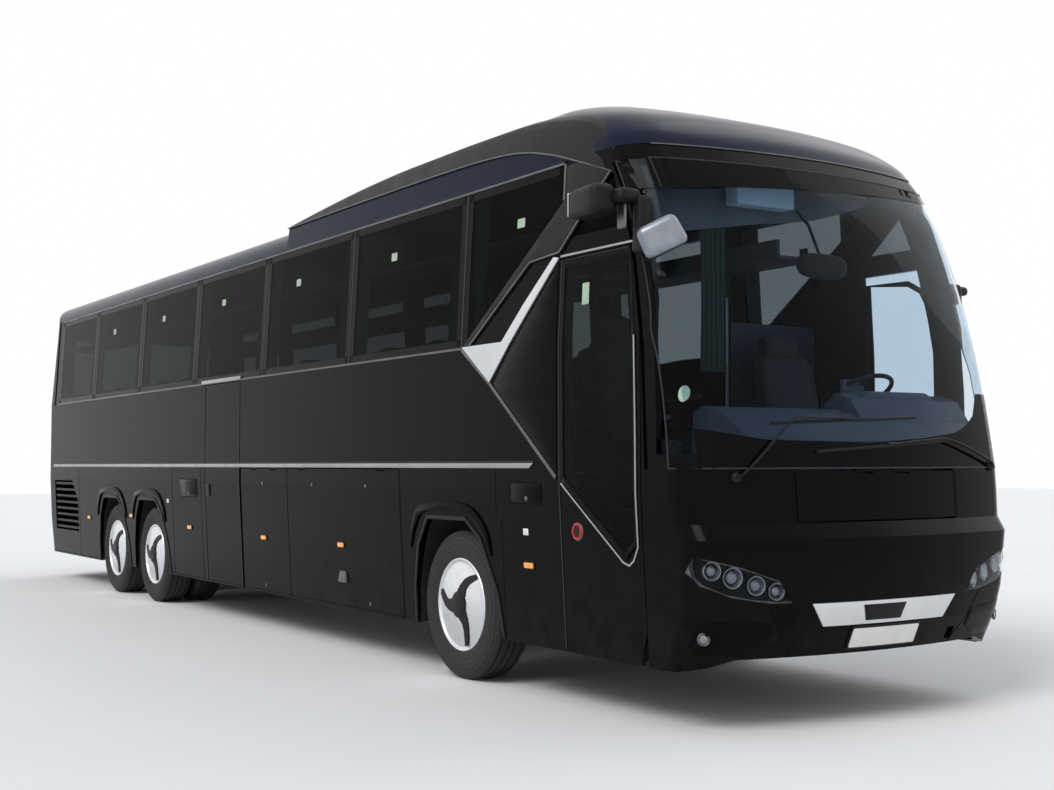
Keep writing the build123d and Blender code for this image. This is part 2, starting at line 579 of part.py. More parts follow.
def arch_cut(axle_station):
    """Cut a wheel opening through the left side panel."""
    side_cut([(axle_station + a, z) for a, z in ARCH])


def lower_panel(rear_fixed):
    """Fixed left-side lower panels: from the rear to rear_fixed, and either side of the front wheel."""
    side_panel(TAIL_CUT, rear_fixed, SKIRT_Z, BELT_Z, 0, PANEL)
    side_panel(ARCH_EDGE, FRONT_DOOR[0] - GAP, SKIRT_Z, BELT_Z, 0, PANEL)
    for station in (0, DRIVE_ST, TAG_ST):
        arch_cut(station)


with BuildPart() as skirt_left:
    lower_panel(BAY_REAR)
    side_panel(FRONT_DOOR[0] - GAP, NOSE_CUT, SKIRT_Z, BELT_Z, 0, PANEL)
save(skirt_left.part, "skirt_left")

with BuildPart() as skirt_mirror:
    lower_panel(MID_DOOR[0] - GAP)
    side_cut(GRILLE)
    for i in range(GRILLE_BARS):
        z = 640 + 630 * (i + 0.5) / GRILLE_BARS
        side_panel(-10550, min(-9460 - max(0, z - 1010) * 0.92, -9460) + 10, z - 14, z + 14, 8, PANEL)
save(mirror(skirt_mirror.part, about=Plane.XZ), "skirt_right")

# ---------------------------------------------------------------- luggage flaps
for name, (a, b) in LEFT_FLAPS.items():
    with BuildPart() as flap:
        flap_panel(a, b)
    save(flap.part, f"flap_left_{name}")
for name, (a, b) in RIGHT_FLAPS.items():
    with BuildPart() as flap:
        flap_panel(a, b)
    save(mirror(flap.part, about=Plane.XZ), f"flap_right_{name}")

# ---------------------------------------------------------------- underframe and floors
RAIL_Y = 380
FRAME_REAR = -10880
RAIL_W = 80
RAIL_Z = (640, 740)
BAY_FLOOR = (420, 440)
BULKHEADS = (-5850, -4950, -3965, -2880, -850)
BULKHEAD_T = 20
BAY_HALF = HALF_WIDTH - 125    # half width of the bay floor and bulkheads
AXLE_SPACE_HALF = 540          # half width of the plate between the two rear axles
RAIL_FRONT = 2450              # front end of the rails
TOW_HALF = 45                  # half size of a towing block
TOW_REAR_S = FRAME_REAR - SEAT_GAP
MID_WELL = (MID_DOOR[0] + 10, MID_DOOR[1] - 10)
WELL_Y = 400                   # inner edge of the middle door's stairs

def rails(a, b, z0, z1):
    """Pair of chassis rails between two stations."""
    for way in (-1, 1):
        block(a, b, way * (RAIL_Y - RAIL_W / 2), way * (RAIL_Y + RAIL_W / 2), z0, z1)


def cross_member(station, half, z0, z1):
    """Upright plate across the rails."""
    block(station - BULKHEAD_T / 2, station + BULKHEAD_T / 2, -half, half, z0, z1)


DECK_UNDER = DECK_Z - FLOOR_T
CAB_UNDER = CAB_Z - FLOOR_T

with BuildPart() as bay_box:
    rails(BULKHEADS[0], BULKHEADS[-1], BAY_FLOOR[0] - 70, BAY_FLOOR[0])
    block(BULKHEADS[0], BULKHEADS[-1], -BAY_HALF, BAY_HALF, *BAY_FLOOR)
    for station in BULKHEADS:
        cross_member(station, BAY_HALF, BAY_FLOOR[0] - 70, DECK_UNDER)
    block(MID_WELL[0], MID_WELL[1], -BAY_HALF - 10, -WELL_Y, BAY_FLOOR[0] - 80, DECK_Z, mode=Mode.SUBTRACT)

CHASSIS_GAP = BULKHEAD_T / 2 + SEAT_GAP
with BuildPart() as front_chassis:
    rails(BULKHEADS[-1] + CHASSIS_GAP, RAIL_FRONT, *RAIL_Z)
    cross_member(640, BAY_HALF, 560, CAB_UNDER)
    cross_member(1250, RAIL_Y + RAIL_W / 2, 560, CAB_UNDER)
    cross_member(2430, RAIL_Y + RAIL_W / 2, 560, CAB_UNDER)
    block(RAIL_FRONT - 70, RAIL_FRONT, RAIL_Y - RAIL_W / 2, TOW_FRONT[0] + TOW_HALF, TOW_FRONT[1] - 60, RAIL_Z[1])
    block(RAIL_FRONT, TOW_FRONT_S, TOW_FRONT[0] - TOW_HALF, TOW_FRONT[0] + TOW_HALF,
          TOW_FRONT[1] - TOW_HALF, TOW_FRONT[1] + TOW_HALF)

with BuildPart() as rear_chassis:
    rails(FRAME_REAR, BULKHEADS[0] - CHASSIS_GAP, *RAIL_Z)
    cross_member(DRIVE_ST - 2050, BAY_HALF, RAIL_Z[0], DECK_UNDER)
    cross_member((DRIVE_ST + TAG_ST) / 2, AXLE_SPACE_HALF, RAIL_Z[0], DECK_UNDER)
    cross_member(FRAME_REAR + 20, 900, RAIL_Z[0], DECK_UNDER)

with BuildPart() as rear_tow:
    block(TOW_REAR_S - TOW_DEPTH, TOW_REAR_S, TOW_REAR[0] - TOW_HALF, TOW_REAR[0] + TOW_HALF,
          TOW_REAR[1] - TOW_HALF, TOW_REAR[1] + TOW_HALF)

tow_bore = Rot(0, 90, 0) * Cylinder(TOW_R, TOW_DEPTH)
front_solid = front_chassis.part - Pos(st(TOW_FRONT_S) - TOW_DEPTH / 2, *TOW_FRONT) * tow_bore
rear_bore = Rot(0, 90, 0) * Cylinder(TOW_R, 2 * TOW_DEPTH)
rear_solid = rear_tow.part - Pos(st(TOW_REAR_S) - TOW_DEPTH / 2, *TOW_REAR) * rear_bore
chassis = [bay_box.part, front_solid, rear_chassis.part, rear_solid]
save(Compound(children=[solid for piece in chassis for solid in piece.solids()]), "underframe")

FLOOR_HALF = HALF_WIDTH - WALL - SEAT_GAP
STEP_Z = 380                   # lowest step of both doorways
STEP_OUT = HALF_WIDTH - 100    # outer edge of the lowest step
FRONT_WELL = (FRONT_DOOR[0] + 20, 2090)
CAB_HALF = half_width(CAB_UNDER) - WALL - SEAT_GAP
CORNER_HALF = HALF_WIDTH - 125 # floors narrow to this in the rounded ends
FRONT_WELL_Y = 700
CAB_REAR = 550                 # rear end of the driver's floor
PLATFORM_Z = CAB_Z + 220       # raised floor under the driver's seat
PLATFORM_Y = 310
PLATFORM_FRONT = 2000


def stairs(well, inner, top, risers):
    """Right-side stairs between two stations, rising from the doorway to under a floor at top."""
    rise = (top - STEP_Z) / risers
    tread = (STEP_OUT - inner) / risers
    for i in range(risers):
        y = -STEP_OUT + i * tread
        z = STEP_Z + i * rise
        last = FLOOR_T + SEAT_GAP if i == risers - 1 else 0
        block(*well, y, y + tread, z - FLOOR_T, z)
        block(*well, y + tread, y + tread + FLOOR_T, z - FLOOR_T, z + rise - last)


with BuildPart() as deck:
    block(FRAME_REAR, CAB_REAR, -CORNER_HALF, CORNER_HALF, DECK_UNDER, DECK_Z)
    block(TAIL_CUT - 100, CAB_REAR, -FLOOR_HALF, FLOOR_HALF, DECK_UNDER, DECK_Z)
    block(*MID_WELL, -FLOOR_HALF - 5, -WELL_Y, DECK_UNDER - 1, DECK_Z + 1, mode=Mode.SUBTRACT)
with BuildPart() as cab_floor:
    block(CAB_REAR + SEAT_GAP, CAB_REAR + FLOOR_T, -CAB_HALF, CAB_HALF, CAB_UNDER, DECK_Z)
    block(CAB_REAR + SEAT_GAP, 2380, -CAB_HALF, CAB_HALF, CAB_UNDER, CAB_Z)
    block(2300, 2540, -CORNER_HALF, CORNER_HALF, CAB_UNDER, CAB_Z)
    block(CAB_REAR + FLOOR_T, PLATFORM_FRONT, PLATFORM_Y, CAB_HALF, CAB_Z, PLATFORM_Z)
    block(*FRONT_WELL, -FLOOR_HALF - 5, -FRONT_WELL_Y, CAB_UNDER - 1, CAB_Z + 1, mode=Mode.SUBTRACT)
with BuildPart() as mid_stairs:
    stairs(MID_WELL, WELL_Y, DECK_Z, 4)
with BuildPart() as front_stairs:
    stairs(FRONT_WELL, FRONT_WELL_Y, CAB_Z, 2)
mid_post_hole = Pos(st(MID_POST), -DOOR_POST_Y, 900) * Cylinder(DOOR_POST_R + HINGE_FIT, 1200)
floors = [deck.part, cab_floor.part, mid_stairs.part - mid_post_hole, front_stairs.part - front_post_hole]
save(Compound(children=[solid for piece in floors for solid in piece.solids()]), "cabin_floor")

# ---------------------------------------------------------------- roof pieces
FAIRING = [(-3000, 3545), (-1300, 3690), (700, 3690), (1500, 3600), (1700, 3480), (1830, 3200),
           (1780, 3140), (1330, 3290), (1150, 3390), (1000, 3440), (660, 3490), (100, 3530), (-2500, 3530)]
FAIRING_IN = 1090
roof_solid = roof_block(ROOF_REAR, ROOF_FRONT)
dome_solid = dome_block(DOME_CUT, 0, 0)
fairing = across(FAIRING) & ahead([(FAIRING_IN, 3400), (1240, 3400), (1190, 3560), (1130, 3700), (FAIRING_IN, 3700)], -3100, 2000)
fairing = fairing - roof_solid - dome_solid
fairing = fairing & box(-3100, ROOF_FRONT, 1000, 1300, 3440, 3800)
save(Compound(children=[*fairing.solids(), *mirror(fairing, about=Plane.XZ).solids()]), "roof_fairings")

AC_TOP = 3800
AC_HALF = 950                  # half width of the roof unit
AC_PROFILE = [(ROOF_FRONT - 1, 3500), (ROOF_FRONT - 1, AC_TOP), (-1300, AC_TOP), (-2900, 3660), (-3000, 3500)]
AC_SECTION = [(-AC_HALF, 3500), (-AC_HALF, 3670), (-AC_HALF + 130, 3740), (-450, 3785), (0, AC_TOP),
              (450, 3785), (AC_HALF - 130, 3740), (AC_HALF, 3670), (AC_HALF, 3500)]
ac_unit = across(AC_PROFILE, AC_HALF) & ahead(AC_SECTION, -3000, ROOF_FRONT)
ac_unit = ac_unit - (Pos(0, 0, SEAT_GAP) * roof_solid)
save(ac_unit, "roof_ac_unit")

# ---------------------------------------------------------------- mirrors and wipers
MIRROR_FOOT = (2080, 2200, 1220, 1300, 2660, 2800)
MIRROR_STEM = (2100, 2160, 1250, 1330, 2780, 2930)
MIRROR_ARM = (1980, 2160, 1290, 1400, 2900, 2950)
MIRROR_HEAD = (1740, 2080, 1340, 1560, 2860, 3060)
KERB_ARM = (2150, 2340, 1235, 1285, 2690, 2740)
KERB_HEAD = (2320, 2410, 1180, 1410, 2620, 2810)
LEFT_FOOT = (2120, 2240, 1220, 1300, 2500, 2640)
LEFT_ARM = (2050, 2160, 1280, 1420, 2590, 2630)
LEFT_HEAD = (1960, 2100, 1330, 1550, 2220, 2620)


def mirror_set(way, boxes):
    """Mirror pieces on one side, from (station, station, y, y, height, height) boxes for the left side."""
    whole = None
    for a, b, y0, y1, z0, z1 in boxes:
        piece = box(a, b, way * (y0 - REFERENCE_HALF + HALF_WIDTH), way * (y1 - REFERENCE_HALF + HALF_WIDTH), z0, z1)
        whole = piece if whole is None else whole + piece
    return whole - end_block(NOSE, NOSE_CUT, 2200, 3240, -SEAT_GAP)


REFERENCE_HALF = 1275          # half width that the mirrors' boxes are drawn for
right_mirrors = mirror_set(-1, (MIRROR_FOOT, MIRROR_STEM, MIRROR_ARM, MIRROR_HEAD, KERB_ARM, KERB_HEAD))
left_mirrors = mirror_set(1, (LEFT_FOOT, LEFT_ARM, LEFT_HEAD))
save(Compound(children=[*left_mirrors.solids(), *right_mirrors.solids()]), "mirrors")

WIPERS = {"right": [(-1000, 1400), (-1040, 1420), (-650, 1740), (-620, 1700)],
          "left": [(1000, 1450), (1040, 1480), (500, 1600), (490, 1560)]}
BLADES = {"right": [(-970, 1690), (580, 1700), (580, 1720), (-970, 1715)],
          "left": [(490, 1560), (490, 1590), (-350, 1515), (-350, 1490)]}
wiper_skin = end_skin(NOSE, NOSE_CUT, 1380, 1800, -24, -SEAT_GAP)
wiper_parts = []
for side, points in WIPERS.items():
    arm = (wiper_skin & ahead(points, 2200, 3000)) + (wiper_skin & ahead(BLADES[side], 2200, 3000))
    wiper_parts += arm.solids()
save(Compound(children=wiper_parts), "wipers")

# ---------------------------------------------------------------- cab fittings
DASH = [(2700, CAB_Z), (2700, 1560), (2560, 1610), (2330, 1760), (2160, 1800), (2080, 1770), (2060, 1560),
        (2110, 1300), (2200, CAB_Z)]
DASH_HUMP = [(2420, 1680), (2290, 1860), (2170, 1900), (2080, 1840), (2080, 1500), (2420, 1500)]
DASH_RIGHT = -850              # edge of the dashboard by the front door
HUMP_RIGHT = 200               # edge of its raised part in front of the driver
DASH_FRONT = 2600 - SEAT_GAP
DASH_REAR = 1900
DASH_TOP = 1950
cab_inside = end_block(NOSE, NOSE_CUT, CAB_Z, DASH_TOP, WALL + SEAT_GAP)
dashboard = across(DASH) & box(DASH_REAR, DASH_FRONT, DASH_RIGHT, CORNER_HALF, CAB_Z, DASH_TOP)
dashboard = dashboard + (across(DASH_HUMP) & box(DASH_REAR, DASH_FRONT, HUMP_RIGHT, CORNER_HALF, CAB_Z, DASH_TOP))
dashboard = dashboard & cab_inside
save(dashboard, "dashboard")

partition = box(930, 960, PLATFORM_Y + 90, CORNER_HALF + 40, PLATFORM_Z + SEAT_GAP, 2450)
save(partition, "driver_partition")

STEER_Y = 640
STEER_S = 1920
STEER_Z = 1915
STEER_TILT = 62                # steering wheel axis above the horizontal, towards the driver
STEER_R = 230


def seat_shape(s, y, z, width, high, depth=460):
    """Seat with its cushion, back and pedestal, facing forward at station s."""
    with BuildSketch(Plane.XZ.offset(-(y + width / 2))) as profile:
        with BuildLine():
            Polyline((st(s), z + 420), (st(s) + 20, z + 300), (st(s) - depth, z + 300), (st(s) - depth - 190, z + high),
                     (st(s) - depth - 90, z + high), (st(s) - depth + 40, z + 440), close=True)
        make_face()
    seat = extrude(profile.sketch, amount=width)
    leg = box(s - depth + 60, s - 60, y - width / 2 + 40, y + width / 2 - 40, z, z + 300)
    return seat + leg


GUIDE_Z = CAB_Z + 300          # plinth under the guide's seat
driver_seat = seat_shape(1800, STEER_Y, PLATFORM_Z + SEAT_GAP, 500, 1260)
guide_seat = seat_shape(1270, -430, GUIDE_Z, 440, 1330, 400)
guide_plinth = box(880, 1200, -600, -260, CAB_Z + SEAT_GAP, GUIDE_Z)
save(Compound(children=[*driver_seat.solids(), *(guide_seat + guide_plinth).solids()]), "cab_seats")

SEAT_PITCH = 790
seats = []
for row in range(12):
    s = -150 - row * SEAT_PITCH
    seats += seat_shape(s, 690, DECK_Z, 900, 1000).solids()
    if not MID_DOOR[0] - 300 < s < MID_DOOR[1] + 550:
        seats += seat_shape(s, -690, DECK_Z, 900, 1000).solids()
save(Compound(children=seats), "passenger_seats")

RACK_Z = (2925, 2950)
RACK_RUN = (-10300, 1000)
RACK_LIP = (800, 830)
rack_parts = []
for way in (-1, 1):
    w = half_width(RACK_Z[1]) - WALL - SEAT_GAP
    shelf = box(*RACK_RUN, way * w, way * RACK_LIP[1], *RACK_Z)
    front = box(*RACK_RUN, way * RACK_LIP[0], way * RACK_LIP[1], RACK_Z[0], RACK_Z[1] + 110)
    rack_parts += (shelf + front).solids()
save(Compound(children=rack_parts), "luggage_racks")

curtain_parts = []
for station in PILLARS[1:-1]:
    for way in (-1, 1):
        w = half_width(RACK_Z[0]) - WALL - SEAT_GAP
        drape = box(station - 110, station + 110, way * (w - 30), way * w, 2320, RACK_Z[0] - SEAT_GAP)
        curtain_parts += drape.solids()
save(Compound(children=curtain_parts), "curtains")

# ---------------------------------------------------------------- doors


def door_arms(post, way, heights, top):
    """Left-side post with two cranked arms that reach along the coach, way = -1 to the rear."""
    with BuildPart() as arms:
        with BuildSketch(Plane.XY.offset(DOOR_POST_FOOT)) as foot:
            with Locations((st(post), DOOR_POST_Y)):
                Circle(DOOR_POST_R)
        extrude(amount=top - DOOR_POST_FOOT)
        for z in heights:
            with BuildSketch(Plane.XY.offset(z)) as arm:
                with BuildLine():
                    Polyline((st(post), DOOR_POST_Y),
                             (st(post) + way * DOOR_ELBOW[0], DOOR_POST_Y + DOOR_ELBOW[1]),
                             (st(post) + way * DOOR_ARM[0], DOOR_POST_Y + DOOR_ARM[1]))
                trace(line_width=DOOR_ARM_W)
                with Locations((st(post), DOOR_POST_Y)):
                    Circle(DOOR_POST_R + 12)
                with Locations((st(post) + way * DOOR_ARM[0], DOOR_POST_Y + DOOR_ARM[1])):
                    Circle(DOOR_ARM_W / 2 + 2)
                    Circle(DOOR_PIVOT_R + HINGE_FIT, mode=Mode.SUBTRACT)
            extrude(amount=DOOR_ARM_T)
    return arms.part


def door_brackets(post, way, heights):
    """Left-side brackets on a door's inner face, with a pin through each arm's eye."""
    x = st(post) + way * DOOR_ARM[0]
    y = DOOR_POST_Y + DOOR_ARM[1]
    for z in heights:
        for z0 in (z - 13, z + DOOR_ARM_T + 3):
            with BuildSketch(Plane.XY.offset(z0)) as plate:
                with Locations((x, y)):
                    Circle(22)
                with Locations((x, (y + half_width(z0) - PANEL / 2) / 2)):
                    Rectangle(44, half_width(z0) - PANEL / 2 - y)
            extrude(plate.sketch, amount=10)
        with BuildSketch(Plane.XY.offset(z - 13)) as pin:
            with Locations((x, y)):
                Circle(DOOR_PIVOT_R)
        extrude(pin.sketch, amount=DOOR_ARM_T + 26)


DOOR_GLASS = [(1350, 2660), (1350, 1405), (1985, 915), (2095, 1030), (2095, 2195), (2020, 2590), (2008, 2660)]
DOOR_VIEW = [(1410, 2600), (1410, 1435), (1990, 985), (2040, 1050), (2040, 2190), (1970, 2570), (1962, 2600)]

with BuildPart() as front_door:
    side_panel(FRONT_DOOR[0] + GAP / 2, FRONT_DOOR[1] - GAP / 2, SKIRT_Z, FRONT_DOOR_TOP, 0, PANEL)
    add(screen_zone.mirror(Plane.XZ).moved(Location((-GAP, 0, 0))), mode=Mode.SUBTRACT)
    side_cut(DOOR_VIEW)
    side_cut([(2000, SKIRT_Z - PAST), (2060, SKIRT_Z - 1), (2128, 520), (2200, 520), (2200, SKIRT_Z - PAST)])
glass_prism = mirror(across(DOOR_GLASS), about=Plane.XZ)
with BuildPart() as door_skin:
    side_panel(FRONT_DOOR[0] + GAP / 2, FRONT_DOOR[1] - GAP / 2, SKIRT_Z, FRONT_DOOR_TOP, -PAST, GLASS_SEAT)
with BuildPart() as pane_skin:
    side_panel(FRONT_DOOR[0] + GAP / 2, FRONT_DOOR[1] - GAP / 2, SKIRT_Z, FRONT_DOOR_TOP, 0, GLASS)
door_leaf = front_door.part - (door_skin.part & glass_prism)
with BuildPart() as front_door_whole:
    add(door_leaf)
    door_brackets(FRONT_POST, -1, FRONT_ARMS)
save(mirror(front_door_whole.part, about=Plane.XZ), "front_door")
pane_prism = across([(a + (3 if a < 1700 else -3), z + (3 if z < 1700 else -3)) for a, z in DOOR_GLASS])
save(mirror(pane_skin.part & pane_prism, about=Plane.XZ), "front_door_glass")
save(mirror(door_arms(FRONT_POST, -1, FRONT_ARMS, FRONT_POST_TOP), about=Plane.XZ), "front_door_arms")

with BuildPart() as mid_door:
    side_panel(MID_DOOR[0] + GAP / 2, MID_DOOR[1] - GAP / 2, SKIRT_Z, MID_DOOR_TOP, 0, PANEL)
    door_brackets(MID_POST, 1, MID_ARMS)
save(mirror(mid_door.part, about=Plane.XZ), "mid_door")
save(mirror(door_arms(MID_POST, 1, MID_ARMS, MID_POST_TOP), about=Plane.XZ), "mid_door_arms")

# ---------------------------------------------------------------- wheels and axles
TYRE_PROFILE = [(290, -105), (330, -135), (400, -145), (480, -138), (TYRE_R, -115),
                (TYRE_R, 115), (480, 138), (400, 145), (330, 135), (290, 105)]
BARREL = (275, 290 - SEAT_GAP)
BARREL_HALF = 118
COVER = (85, 100)              # wheel cover, from the tyre's middle outward
HUB_R = 100
HUB_FACE = 130
SPINDLE_R = 45
SPINDLE_TIP = 80
TYRE_Y = TYRE_OUTER_Y - TYRE_W / 2
AXLE_R = 70
KINGPIN_Y = 960
KINGPIN_R = 22


def spun(points, station, y):
    """Ring turned about a wheel's axis from (radius, distance outward) points, on the left side."""
    with BuildPart() as ring:
        with BuildSketch(Plane.XY.offset(TYRE_R)) as half:
            with BuildLine():
                Polyline(*[(st(station) + r, y + w) for r, w in points], close=True)
            make_face()
        revolve(axis=Axis((st(station), y, TYRE_R), (0, 1, 0)))
    return ring.part


def single_rim():
    """Outline of a single wheel's rim, cover and hub, bored for its spindle."""
    r = SPINDLE_R + HINGE_FIT
    return [(r, -40), (r, SPINDLE_TIP + 1), (0, SPINDLE_TIP + 1), (0, HUB_FACE), (HUB_R - 10, HUB_FACE),
            (HUB_R, COVER[1]), (BARREL[0], COVER[1]), (BARREL[0], BARREL_HALF), (BARREL[1], BARREL_HALF),
            (BARREL[1], -BARREL_HALF), (BARREL[0], -BARREL_HALF), (BARREL[0], COVER[0]),
            (HUB_R, COVER[0]), (HUB_R, -40)]


def twin_rim():
    """Outline of the drive wheel's two rims, joined by one disc, with cover and hub."""
    r = SPINDLE_R + HINGE_FIT
    inner = -TWIN_PITCH - BARREL_HALF
    return [(r, -190), (r, SPINDLE_TIP + 1), (0, SPINDLE_TIP + 1), (0, HUB_FACE), (HUB_R - 10, HUB_FACE),
            (HUB_R, COVER[1]), (BARREL[0], COVER[1]), (BARREL[0], BARREL_HALF), (BARREL[1], BARREL_HALF),
            (BARREL[1], inner), (BARREL[0], inner), (BARREL[0], -185), (HUB_R, -185), (HUB_R, -190)]


for name, station, rim in (("front", 0, single_rim()), ("drive", DRIVE_ST, twin_rim()), ("tag", TAG_ST, single_rim())):
    tyres = spun(TYRE_PROFILE, station, TYRE_Y).solids()
    if name == "drive":
        tyres += spun(TYRE_PROFILE, station, TYRE_Y - TWIN_PITCH).solids()
    wheel = spun(rim, station, TYRE_Y)
    for side in ("left", "right"):
        if side == "left":
            save(Compound(children=[copy for copy in tyres]), f"tyre_{name}_{side}")
            save(wheel, f"rim_{name}_{side}")
        else:
            save(Compound(children=[mirror(copy, about=Plane.XZ) for copy in tyres]), f"tyre_{name}_{side}")
            save(mirror(wheel, about=Plane.XZ), f"rim_{name}_{side}")


def rod(station, y0, y1, r, z=TYRE_R):
    """Round bar along Y."""
    return Pos(st(station), (y0 + y1) / 2, z) * Rot(90, 0, 0) * Cylinder(r, abs(y1 - y0))


def post(station, y, z0, z1, r):
    """Round bar along Z."""
    return Pos(st(station), y, (z0 + z1) / 2) * Cylinder(r, z1 - z0)


# the steered knuckle: two lugs on a kingpin, joined by a plate that carries the spindle
EYE_HALF = 75
LUG_T = 50
knuckle = box(-55, 55, KINGPIN_Y + 50, KINGPIN_Y + 80, TYRE_R - EYE_HALF - LUG_T - 3, TYRE_R + EYE_HALF + LUG_T + 3)
for z0 in (TYRE_R - EYE_HALF - LUG_T - 3, TYRE_R + EYE_HALF + 3):
    knuckle = knuckle + box(-45, 45, KINGPIN_Y - 45, KINGPIN_Y + 60, z0, z0 + LUG_T)
knuckle = knuckle + post(0, KINGPIN_Y, TYRE_R - EYE_HALF - LUG_T, TYRE_R + EYE_HALF + LUG_T, KINGPIN_R)
knuckle = knuckle + rod(0, KINGPIN_Y + 60, TYRE_Y + SPINDLE_TIP, SPINDLE_R)
save_pair(knuckle, "knuckle")

BELLOWS_R = 105
front_axle = box(-45, 45, -KINGPIN_Y + 60, KINGPIN_Y - 60, TYRE_R - 60, TYRE_R + 20)
for way in (-1, 1):
    eye = post(0, way * KINGPIN_Y, TYRE_R - EYE_HALF, TYRE_R + EYE_HALF, 44)
    eye = eye + box(-42, 42, way * (KINGPIN_Y - 70), way * KINGPIN_Y, TYRE_R - EYE_HALF, TYRE_R + EYE_HALF)
    front_axle = front_axle + eye - post(0, way * KINGPIN_Y, 300, 700, KINGPIN_R + HINGE_FIT)
    front_axle = front_axle + post(0, way * RAIL_Y, TYRE_R, RAIL_Z[0], BELLOWS_R)
save(front_axle, "front_axle")

for name, station in (("drive", DRIVE_ST), ("tag", TAG_ST)):
    end = TYRE_Y - 195 if name == "drive" else TYRE_Y - 45
    axle = rod(station, -end, end, AXLE_R)
    axle = axle + rod(station, -TYRE_Y - SPINDLE_TIP, TYRE_Y + SPINDLE_TIP, SPINDLE_R)
    if name == "drive":
        axle = axle + Pos(st(station), 0, TYRE_R) * Sphere(170)
    for way in (-1, 1):
        axle = axle + post(station, way * RAIL_Y, TYRE_R, RAIL_Z[0], BELLOWS_R)
    save(axle, f"{name}_axle")

# ---------------------------------------------------------------- engine and steering
engine = box(-10650, -9250, -330, 330, 560, 1290)
engine = engine + box(-10500, -9400, -339.7, 339.7, 650, 730)
engine = engine + box(-9250, -8750, -200, 200, 600, 980)
save(engine, "engine_block")

STEER_AXIS = Vector(-cos(radians(STEER_TILT)), 0, sin(radians(STEER_TILT)))
steer_plane = Plane(origin=(st(STEER_S), STEER_Y, STEER_Z), x_dir=(0, 1, 0), z_dir=STEER_AXIS)
wheel_ring = Location(steer_plane) * Torus(STEER_R, 15)
for angle in (0, 120, 240):
    spoke = Location(steer_plane) * Rot(0, 0, angle) * Pos(STEER_R / 2, 0, -6) * Box(STEER_R, 32, 10)
    wheel_ring = wheel_ring + spoke
wheel_ring = wheel_ring + Location(steer_plane) * Cylinder(50, 40)
wheel_ring = wheel_ring + Location(steer_plane) * Pos(0, 0, -80) * Cylinder(18, 120)
save(wheel_ring, "steering_wheel")
column = Location(steer_plane) * Pos(0, 0, -330) * Cylinder(40, 540)
column = column - Location(steer_plane) * Pos(0, 0, -100) * Cylinder(18 + HINGE_FIT, 90)
save(column - dashboard, "steering_column")
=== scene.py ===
"""Looks of a three-axle touring coach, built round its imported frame.

Everything is in metres: +X forward, +Y to the coach's left, +Z up, origin on the ground under the
middle. Stations along the coach run from the front axle, positive forward.
"""

import logging
import math
from bisect import bisect_right
from dataclasses import dataclass
from enum import Enum
from typing import Callable, Iterable, Sequence

import bmesh
import bpy
from mathutils import Matrix, Vector


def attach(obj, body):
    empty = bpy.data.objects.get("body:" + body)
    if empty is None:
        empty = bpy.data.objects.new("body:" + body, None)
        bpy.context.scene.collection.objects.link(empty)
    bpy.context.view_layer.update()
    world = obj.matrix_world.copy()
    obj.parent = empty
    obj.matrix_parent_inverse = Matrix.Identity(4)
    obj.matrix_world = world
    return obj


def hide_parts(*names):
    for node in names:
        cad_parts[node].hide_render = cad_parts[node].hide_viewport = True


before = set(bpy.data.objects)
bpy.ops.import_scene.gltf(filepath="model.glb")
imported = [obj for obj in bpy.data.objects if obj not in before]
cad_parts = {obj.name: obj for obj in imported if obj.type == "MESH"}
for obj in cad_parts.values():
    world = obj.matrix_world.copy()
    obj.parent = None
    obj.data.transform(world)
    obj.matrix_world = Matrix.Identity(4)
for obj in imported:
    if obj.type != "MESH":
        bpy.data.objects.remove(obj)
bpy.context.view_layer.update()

logging.basicConfig(level=logging.INFO, format="%(message)s")
LOG = logging.getLogger("coach")

Point = tuple[float, float]
Colour = tuple[float, float, float]

AXLE_X = 4.130                 # X of the front axle
LEFT, RIGHT = 1, -1
SIDE_WORDS = {LEFT: "left", RIGHT: "right"}
MAIN_BODY = "coach_body"       # the body that carries what doesn't move
WELD = 2e-5                    # vertices closer than this are joined


def st(station: float) -> float:
    """X of a station measured forward from the front axle."""
    return AXLE_X + station


# ---------------------------------------------------------------- finishes
class Effect(Enum):
    """Small-scale surface patterns that a finish can carry."""

    PEEL = "peel"
    GRAIN = "grain"
    BRUSHED = "brushed"
    WEAVE = "weave"
    PEBBLE = "pebble"


class Tree:
    """Adds and links nodes in one material or node group."""

    def __init__(self, tree: bpy.types.NodeTree) -> None:
        """Keeps the tree that the nodes go into."""
        self.tree = tree

    def node(self, kind: str, inputs: dict | None = None, **settings: object) -> bpy.types.Node:
        """Adds a node.

        Args:
            kind: identifier of the node type.
            inputs: socket name or index to a value, or to the output socket to link.
            settings: attributes of the node.
        Returns:
            The new node.
        """
        made = self.tree.nodes.new(kind)
        for key, value in settings.items():
            setattr(made, key, value)
        for key, value in (inputs or {}).items():
            if isinstance(value, bpy.types.NodeSocket):
                self.tree.links.new(value, made.inputs[key])
            else:
                made.inputs[key].default_value = value
        return made

    def math(self, operation: str, a: object, b: object = 0.0) -> bpy.types.NodeSocket:
        """Output of a Math node on two values or sockets."""
        return self.node("ShaderNodeMath", {0: a, 1: b}, operation=operation).outputs[0]

    def mix(self, share: object, a: object, b: object) -> bpy.types.NodeSocket:
        """Colour between a and b by share."""
        made = self.node("ShaderNodeMix", {0: share, 6: a, 7: b}, data_type="RGBA")
        return made.outputs[2]


def relief_tree(name: str) -> Tree:
    """Starts a relief group: vector and scale go in, height comes out."""
    return group_tree(name, [("Vector", "Vector", 0), ("Scale", "Float", 100)], [("Height", "Float")])


